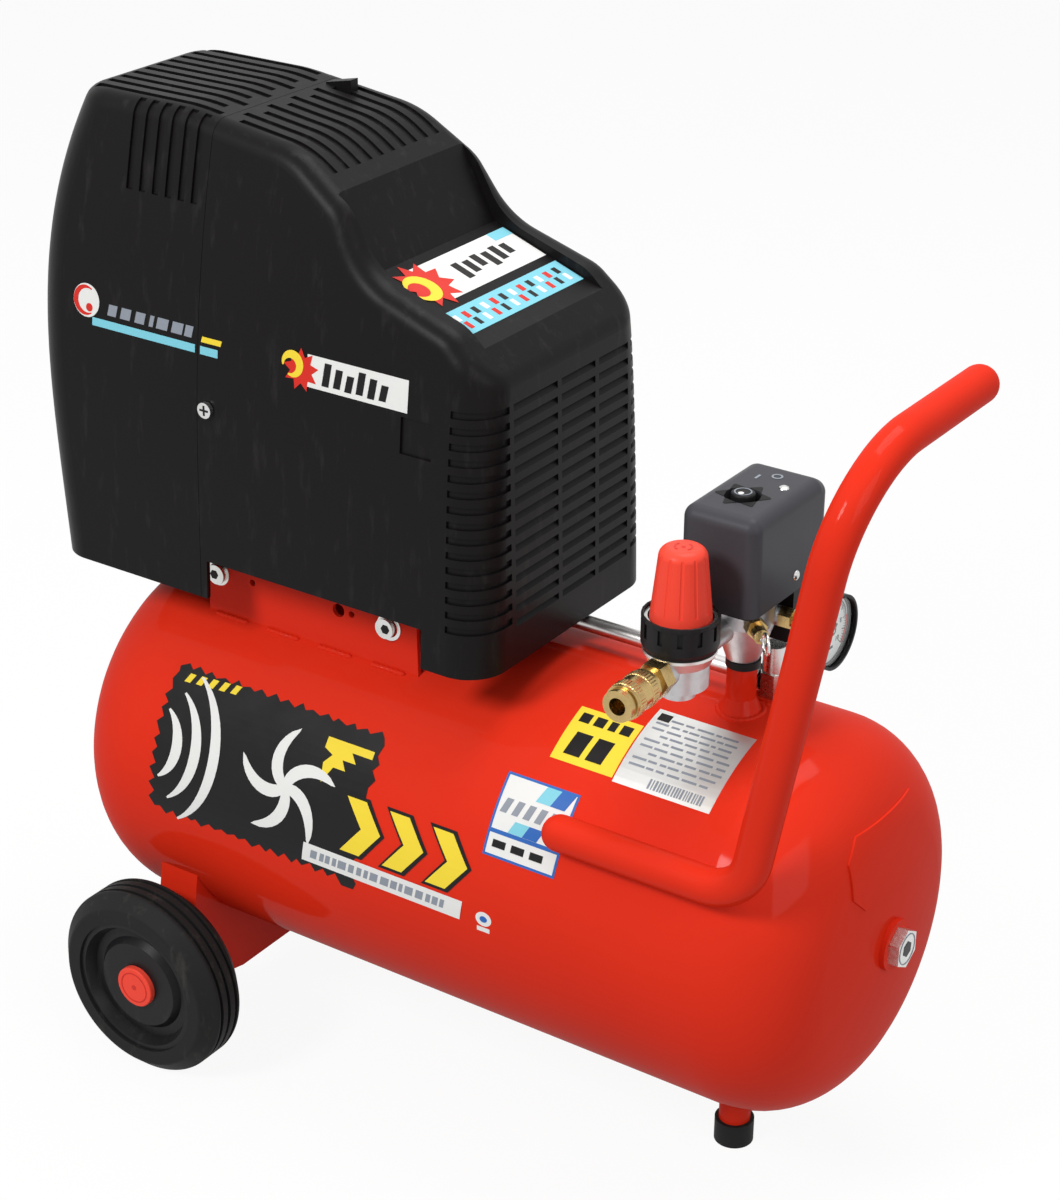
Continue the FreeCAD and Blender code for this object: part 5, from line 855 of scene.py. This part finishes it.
def sector(inner, outer, start, stop, count=30):
    """Part of a ring between two bearings, in degrees clockwise from straight up."""
    rim = []
    core = []
    for i in range(count + 1):
        angle = math.radians(start + (stop - start) * i / count)
        rim.append((outer * math.sin(angle), outer * math.cos(angle)))
        core.append((inner * math.sin(angle), inner * math.cos(angle)))
    return rim + core[::-1]


RIGHT_WAY = (1.0, 0.0, 0.0)
FAR_WAY = (0.0, 1.0, 0.0)
UP_WAY = (0.0, 0.0, 1.0)
LEFT_WAY = (-1.0, 0.0, 0.0)
NEAR_WAY = (0.0, -1.0, 0.0)
SADDLE_ARC = 59.5       # from the tank's top to the saddle's outer face, along the barrel
HANDLE_ARC = 120.2      # from the tank's top to the line under the handle's tube
HANDLE_BEAD = 8.0       # from that line to the bead on each side of the tube
HANDLE_STITCH_X = 122.0
HANDLE_STITCH_PITCH = 32.0
HANDLE_STITCH = 22.0
SADDLE_STITCH = 26.0


class COMPRESSOR_OT_lay_welds(bpy.types.Operator):
    """Lay the painted weld beads of the bosses, the saddle, the foot and the handle"""
    bl_idname = "compressor.lay_welds"
    bl_label = "Lay Welds"

    def execute(self, context):
        riser = middle("switch_manifold")
        check = middle("check_valve")
        foot = middle("front_foot_cap")
        drain = middle("drain_cock_body")
        bead("weld_riser", tank_ring(riser.x, 0.0, 13.6, 1), True)
        bead("weld_check_boss", tank_ring(check.x, check.y, 10.6, 1), True)
        bead("weld_drain_boss", tank_ring(drain.x, drain.y, 12.6, -1), True)
        bead("weld_foot", tank_ring(foot.x, 0.0, 10.6, -1), True)
        saddle_low, saddle_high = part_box("pump_saddle")
        start = saddle_low[0] / MM + 6.0
        pitch = (saddle_high[0] - saddle_low[0]) / MM / 4
        for hand, side in (("near", 1), ("far", -1)):
            for i in range(4):
                x0 = start + pitch * i
                bead("weld_saddle_%s_%d" % (hand, i + 1),
                     tank_line(x0, x0 + SADDLE_STITCH, side * SADDLE_ARC))
        for label, edge in (("upper", -HANDLE_BEAD), ("lower", HANDLE_BEAD)):
            for i in range(3):
                x0 = HANDLE_STITCH_X + HANDLE_STITCH_PITCH * i
                bead("weld_handle_%s_%d" % (label, i + 1),
                     tank_line(x0, x0 + HANDLE_STITCH, HANDLE_ARC + edge))
        return {"FINISHED"}


SCALE_START = -135.0    # bearings of the gauge's scale, clockwise from straight up
SCALE_STOP = 135.0
RED_START = 81.0
SCALE_MARKS = 50


class COMPRESSOR_OT_dress_gauge(bpy.types.Operator):
    """Print the gauge's scale and its numbers"""
    bl_idname = "compressor.dress_gauge"
    bl_label = "Dress Gauge"

    def execute(self, context):
        sizes = context.scene.compressor_sizes
        dial_low, dial_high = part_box("gauge_dial")
        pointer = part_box("gauge_pointer")[0][0]
        radius = (dial_high[1] - dial_low[1]) / 2 / MM
        face = (dial_low[0] + 0.8 * MM, middle("gauge_dial").y, middle("gauge_dial").z)
        if face[0] >= pointer:
            raise RuntimeError("gauge dial is not behind its pointer")
        place = on_plane(face, FAR_WAY, UP_WAY)
        marks = []
        for i in range(SCALE_MARKS + 1):
            bearing = SCALE_START + 2 * SCALE_STOP * i / SCALE_MARKS
            long = i % 5 == 0
            half = 1.0 if long else 0.5
            marks.append(sector(radius - (5.6 if long else 4.2), radius - 2.2, bearing - half,
                                bearing + half, 2))
        flat_film("gauge_scale", marks, place, "Print Ink")
        flat_film("gauge_scale_arc", [sector(radius - 2.0, radius - 1.5, SCALE_START, SCALE_STOP, 60)], place,
             "Print Ink")
        flat_film("gauge_red_zone", [sector(radius - 2.0, radius - 0.6, RED_START, SCALE_STOP, 20)], place,
             "Print Red", 1)
        flat_film("gauge_unit_bar", [box_outline(-3.4, -12.4, 3.4, -10.8)], place, "Print Ink")
        for i in range(0, 11, 2):
            angle = math.radians(SCALE_START + 2 * SCALE_STOP * i / 10)
            reach = (radius - 8.2) * MM
            data = bpy.data.curves.new("gauge_number_%d" % i, "FONT")
            data.body = str(i)
            data.size = 4.4 * MM
            data.extrude = sizes.film / 2
            data.align_x = "CENTER"
            data.align_y = "CENTER"
            data.materials.append(bpy.data.materials["Print Ink"])
            number = bpy.data.objects.new("gauge_number_%d" % i, data)
            context.scene.collection.objects.link(number)
            turn = Matrix((FAR_WAY, UP_WAY, RIGHT_WAY)).transposed().to_4x4()
            number.matrix_world = Matrix.Translation(
                place(reach * math.sin(angle), reach * math.cos(angle),
                      sizes.lift + sizes.film / 2)) @ turn
            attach(number, "frame")
        return {"FINISHED"}


class COMPRESSOR_OT_dress_controls(bpy.types.Operator):
    """Add the details of the switch, the regulator, the coupler and the plugs"""
    bl_idname = "compressor.dress_controls"
    bl_label = "Dress Controls"

    def execute(self, context):
        switch_low, switch_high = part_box("switch_cover")
        knob_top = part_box("switch_knob")[1][2]
        knob = middle("switch_knob")
        top = on_plane((knob.x, knob.y, switch_high[2]), RIGHT_WAY, FAR_WAY)
        # Painted shade: flat sheets in the darker Cover Plastic stand for the shaded points of the
        # star-shaped well round the knob.
        well_shade_points = []
        for i in range(6):
            turn = math.pi * i / 3 + 0.3
            fan = [(11.2, turn - 0.42), (16.0, turn - 0.04), (16.0, turn + 0.04), (11.2, turn + 0.42)]
            well_shade_points.append([(r * math.cos(a), r * math.sin(a)) for r, a in fan])
        flat_film("switch_well_painted_shade", well_shade_points, top, "Cover Plastic")
        flat_film("switch_on_mark", [box_outline(-7.0, 24.5, -5.4, 30.5)], top, "Print Grey")
        flat_film("switch_off_mark", [sector(2.2, 3.4, 0.0, 358.0)], on_plane(
            (knob.x + 3.0 * MM, knob.y + 34.0 * MM, switch_high[2]), RIGHT_WAY, FAR_WAY),
             "Print Grey")
        cap = on_plane((knob.x, knob.y, knob_top), RIGHT_WAY, FAR_WAY)
        flat_film("switch_knob_dot", [oval(0.0, -2.4, 1.7, 1.7)], cap, "Print White", body="switch_knob")
        flat_film("switch_knob_ring", [sector(4.4, 5.2, 0.0, 359.0)], cap, "Print Grey", body="switch_knob")
        dome = [(0.05, 1.5), (1.6, 1.3), (2.7, 0.7), (3.1, 0.0), (0.05, 0.0)]
        turned("switch_top_screw", dome, (switch_high[0] - 13.0 * MM, 17.0 * MM, switch_high[2]),
               UP_WAY, "Zinc Plate")
        turned("switch_side_screw", dome, (switch_high[0], 13.0 * MM, switch_low[2] + 10.0 * MM),
               RIGHT_WAY, "Zinc Plate")

        knob = middle("regulator_knob")
        knob_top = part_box("regulator_knob")[1][2]
        cap = on_plane((knob.x, knob.y, knob_top), RIGHT_WAY, FAR_WAY)
        flat_film("regulator_knob_arcs", [sector(4.2, 5.4, 15.0, 120.0), sector(4.2, 5.4, 195.0, 300.0),
                                     oval(0.0, 0.0, 1.2, 1.2)], cap, "Print Red", body="outlet_knob")
        seat = (knob.x, knob.y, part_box("regulator_lock_ring")[1][2])
        turned("regulator_ring_washer", [(18.7, 0.1), (20.5, 0.1), (20.5, 0.9), (18.7, 0.9)], seat,
               UP_WAY, "Zinc Plate")
        turned("regulator_ring_rim", [(20.8, 0.0), (22.2, 0.0), (22.2, 2.6), (21.4, 2.9), (20.8, 2.6)],
               seat, UP_WAY, "Black Plastic", teeth=24, depth=0.12)

        turned("regulator_collar", [(16.8, -9.0), (18.2, -8.0), (21.2, -2.0), (21.2, -0.2), (16.8, -0.2)],
               (knob.x, knob.y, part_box("regulator_body")[1][2]), UP_WAY, "Plate Silver")
        manifold_low, manifold_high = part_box("switch_manifold")
        turned("riser_seal", [(8.8, -3.0), (10.4, -2.4), (10.4, 2.0), (9.6, 2.6), (8.8, 2.6)],
               ((manifold_low[0] + manifold_high[0]) / 2, 0.0, manifold_low[2]), UP_WAY,
               "Black Plastic")

        sleeve_low, sleeve_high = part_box("coupler_sleeve")
        sleeve = middle("coupler_sleeve")
        length = (sleeve_high[1] - sleeve_low[1]) / MM
        for i, start in enumerate((2.0, length - 8.5)):
            place = (sleeve.x, sleeve_high[1] - start * MM, sleeve.z)
            turned("coupler_knurl_%d" % (i + 1), [(10.3, 0.0), (10.9, 0.5), (10.9, 6.0), (10.3, 6.5)],
                   place, NEAR_WAY, "Brass", "coupler_sleeve", 36, 0.16, 216)

        plug_low, plug_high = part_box("inspection_plugs")
        plug = middle("inspection_plugs")
        for label, x, right in (("right", plug_high[0], FAR_WAY), ("left", plug_low[0], NEAR_WAY)):
            face = on_plane((x, plug.y, plug.z), right, UP_WAY)
            # Painted shade: a black hexagon stands for the shaded socket of each plug.
            flat_film("plug_socket_painted_shade_" + label, [hexagon_outline(5.2, 0.4)], face, "Print Ink")
            # Painted shade: a grey ring stands for the shaded chamfer round each plug's face.
            flat_film("plug_chamfer_painted_shade_" + label, [sector(9.2, 9.9, 0.0, 359.0)], face, "Print Grey")
        return {"FINISHED"}


class COMPRESSOR_OT_dress_fasteners(bpy.types.Operator):
    """Add the washers of the visible screws, painted shade for their drive recesses, and the marks of the
    wheel caps
    """
    bl_idname = "compressor.dress_fasteners"
    bl_label = "Dress Fasteners"

    def execute(self, context):
        # Painted shade: black crosses stand for the shaded drive recesses of the cover screws.
        cross = [[(-3.2, -0.6), (3.2, -0.6), (3.2, 0.6), (-3.2, 0.6)],
                 [(-0.6, 0.6), (0.6, 0.6), (0.6, 3.2), (-0.6, 3.2)],
                 [(-0.6, -3.2), (0.6, -3.2), (0.6, -0.6), (-0.6, -0.6)]]
        screw_low, screw_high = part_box("shroud_screws")
        screw = middle("shroud_screws")
        bolt_low, bolt_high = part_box("saddle_bolts")
        saddle_low, saddle_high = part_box("pump_saddle")
        for hand, right, way, screw_y, bolt_y, plate_y in (
                ("near", RIGHT_WAY, NEAR_WAY, screw_low[1], bolt_low[1], saddle_low[1]),
                ("far", LEFT_WAY, FAR_WAY, screw_high[1], bolt_high[1], saddle_high[1])):
            face = on_plane((screw.x, screw_y, screw.z), right, UP_WAY)
            flat_film("cover_screw_cross_painted_shade_" + hand, cross, face, "Print Ink")
            for end, x in (("left", bolt_low[0] + 6.5 * MM), ("right", bolt_high[0] - 6.5 * MM)):
                level = (bolt_low[2] + bolt_high[2]) / 2
                face = on_plane((x, bolt_y, level), right, UP_WAY)
                # Painted shade: black hexagons stand for the shaded sockets of the saddle bolts.
                flat_film("saddle_bolt_socket_%s_%s" % (hand, end), [hexagon_outline(3.2)], face,
                     "Print Ink")
                turned("saddle_washer_%s_%s" % (hand, end),
                       [(6.6, 0.0), (8.8, 0.0), (8.8, 0.8), (6.6, 0.9)], (x, plate_y, level), way,
                       "Zinc Plate")
            cap_low, cap_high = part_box(hand + "_hub_cap")
            cap = middle(hand + "_hub_cap")
            y = cap_low[1] if hand == "near" else cap_high[1]
            face = on_plane((cap.x, y, cap.z), right, UP_WAY)
            reach = (cap_high[0] - cap_low[0]) / 2 / MM
            flat_film("hub_cap_ring_" + hand, [sector(reach - 4.0, reach - 3.2, 0.0, 359.0),
                                          oval(0.0, 0.0, 1.8, 1.8)], face, "Print Red", body=hand + "_wheel")
        return {"FINISHED"}


# ---------------------------------------------------------------- stage
FLOOR_REACH = 30.0
FLOOR_GLOW = 0.92       # share of the floor's look that doesn't take a shadow
FLOOR_BOUNCE = 0.42     # paleness of the floor for rays that carry light
FLOOR_SHADE = 0.95      # paleness of the floor where it is seen
WORLD_LIGHT = 0.40
EYE = (0.8376, -1.2208, 1.0569)
EYE_AZIMUTH = 33.84
EYE_ELEVATION = 26.19
EYE_ROLL = 0.51
LENS = 80.744


def add_camera(scene):
    """Camera that looks down on the tank from its right front."""
    azimuth = math.radians(EYE_AZIMUTH)
    elevation = math.radians(EYE_ELEVATION)
    roll = math.radians(EYE_ROLL)
    back = Vector((math.sin(azimuth) * math.cos(elevation),
                   -math.cos(azimuth) * math.cos(elevation), math.sin(elevation)))
    level = Vector((math.cos(azimuth), math.sin(azimuth), 0))
    upright = back.cross(level)
    right = level * math.cos(roll) + upright * math.sin(roll)
    top = upright * math.cos(roll) - level * math.sin(roll)
    data = bpy.data.cameras.new("Front Camera")
    data.lens = LENS
    data.sensor_width = 36.0
    data.clip_start = 0.05
    data.clip_end = 60.0
    camera = bpy.data.objects.new("front_camera", data)
    turn = Matrix((right, top, back)).transposed().to_4x4()
    camera.matrix_world = Matrix.Translation(Vector(EYE)) @ turn
    scene.collection.objects.link(camera)
    scene.camera = camera


def add_softbox(scene, name, place, target, size, power):
    """Square area lamp aimed at a point."""
    data = bpy.data.lights.new(name, "AREA")
    data.shape = "SQUARE"
    data.size = size
    data.energy = power
    lamp = bpy.data.objects.new(name, data)
    aim = Vector(target) - Vector(place)
    lamp.location = place
    lamp.rotation_mode = "QUATERNION"
    lamp.rotation_quaternion = aim.to_track_quat("-Z", "Y")
    scene.collection.objects.link(lamp)


def is_background_ray(tree):
    """One on camera, mirror and glass rays, zero on rays that carry light."""
    path = tree.nodes.new("ShaderNodeLightPath")
    first = math_node(tree, "MAXIMUM", path.outputs["Is Camera Ray"],
                      path.outputs["Is Glossy Ray"])
    return math_node(tree, "MAXIMUM", first, path.outputs["Is Transmission Ray"])


def build_floor_material():
    """Pale floor that keeps the object's shadow and fades into the white backdrop."""
    material = bpy.data.materials.new("Studio Floor")
    material.use_nodes = True
    tree = material.node_tree
    tree.nodes.clear()
    sink = tree.nodes.new("ShaderNodeOutputMaterial")
    matte = tree.nodes.new("ShaderNodeBsdfDiffuse")
    seen = is_background_ray(tree)
    tree.links.new(value_mix(tree, seen, FLOOR_BOUNCE, FLOOR_SHADE), matte.inputs["Color"])
    glow = tree.nodes.new("ShaderNodeEmission")
    glow.inputs["Color"].default_value = (1.0, 1.0, 1.0, 1.0)
    glow.inputs["Strength"].default_value = 1.0
    blend = tree.nodes.new("ShaderNodeMixShader")
    share = math_node(tree, "MULTIPLY", seen, FLOOR_GLOW)
    tree.links.new(share, blend.inputs["Fac"])
    tree.links.new(matte.outputs["BSDF"], blend.inputs[1])
    tree.links.new(glow.outputs["Emission"], blend.inputs[2])
    tree.links.new(blend.outputs["Shader"], sink.inputs["Surface"])
    return material


class COMPRESSOR_OT_build_stage(bpy.types.Operator):
    """Add the floor, the soft lamps, the pale world and the camera"""
    bl_idname = "compressor.build_stage"
    bl_label = "Build Stage"

    def execute(self, context):
        scene = context.scene
        centre = (Vector(CAD_LOW) + Vector(CAD_HIGH)) / 2
        floor = bpy.data.meshes.new("studio_floor")
        corners = [(side * FLOOR_REACH, front * FLOOR_REACH, CAD_LOW[2])
                   for side, front in ((-1, -1), (1, -1), (1, 1), (-1, 1))]
        floor.from_pydata(corners, [], [(0, 1, 2, 3)])
        floor.materials.append(build_floor_material())
        stage = bpy.data.objects.new("studio_floor", floor)
        scene.collection.objects.link(stage)

        world = bpy.data.worlds.new("Studio World")
        world.use_nodes = True
        scene.world = world
        tree = world.node_tree
        glow = tree.nodes["Background"]
        seen = is_background_ray(tree)
        glow.inputs["Color"].default_value = (1.0, 1.0, 1.0, 1.0)
        tree.links.new(value_mix(tree, seen, WORLD_LIGHT, 1.0), glow.inputs["Strength"])

        add_softbox(scene, "key_softbox", (-0.5, -1.9, 1.9), centre, 0.6, 36.0)
        add_softbox(scene, "fill_softbox", (1.9, -0.7, 1.3), centre, 1.2, 11.0)
        add_softbox(scene, "top_softbox", (0.1, 0.5, 2.2), centre, 1.1, 22.0)
        add_camera(scene)
        scene.view_settings.view_transform = "Standard"
        return {"FINISHED"}


class COMPRESSOR_PT_parts(bpy.types.Panel):
    """Lists the compressor's operators and settings in the sidebar"""
    bl_label = "Air Compressor"
    bl_idname = "COMPRESSOR_PT_parts"
    bl_space_type = "VIEW_3D"
    bl_region_type = "UI"
    bl_category = "Compressor"

    def draw(self, context):
        layout = self.layout
        for operator in OPERATORS:
            layout.operator(operator.bl_idname)
        for settings in (context.scene.compressor_colours, context.scene.compressor_sizes):
            box = layout.box()
            for label in settings.__annotations__:
                box.prop(settings, label)


OPERATORS = (COMPRESSOR_OT_finish_solids, COMPRESSOR_OT_print_tank, COMPRESSOR_OT_print_covers,
             COMPRESSOR_OT_lay_welds, COMPRESSOR_OT_dress_gauge, COMPRESSOR_OT_dress_controls,
             COMPRESSOR_OT_dress_fasteners, COMPRESSOR_OT_build_stage)
CLASSES = (CompressorColours, CompressorSizes) + OPERATORS + (COMPRESSOR_PT_parts,)


def register():
    """Adds the settings, the operators and the panel to Blender."""
    for item in CLASSES:
        bpy.utils.register_class(item)
    bpy.types.Scene.compressor_colours = bpy.props.PointerProperty(type=CompressorColours)
    bpy.types.Scene.compressor_sizes = bpy.props.PointerProperty(type=CompressorSizes)


def unregister():
    """Takes them out again."""
    del bpy.types.Scene.compressor_sizes
    del bpy.types.Scene.compressor_colours
    for item in reversed(CLASSES):
        bpy.utils.unregister_class(item)


def main():
    """Builds everything in order."""
    register()
    for operator in OPERATORS:
        group, name = operator.bl_idname.split(".")
        getattr(getattr(bpy.ops, group), name)()


if __name__ == "__main__":
    main()
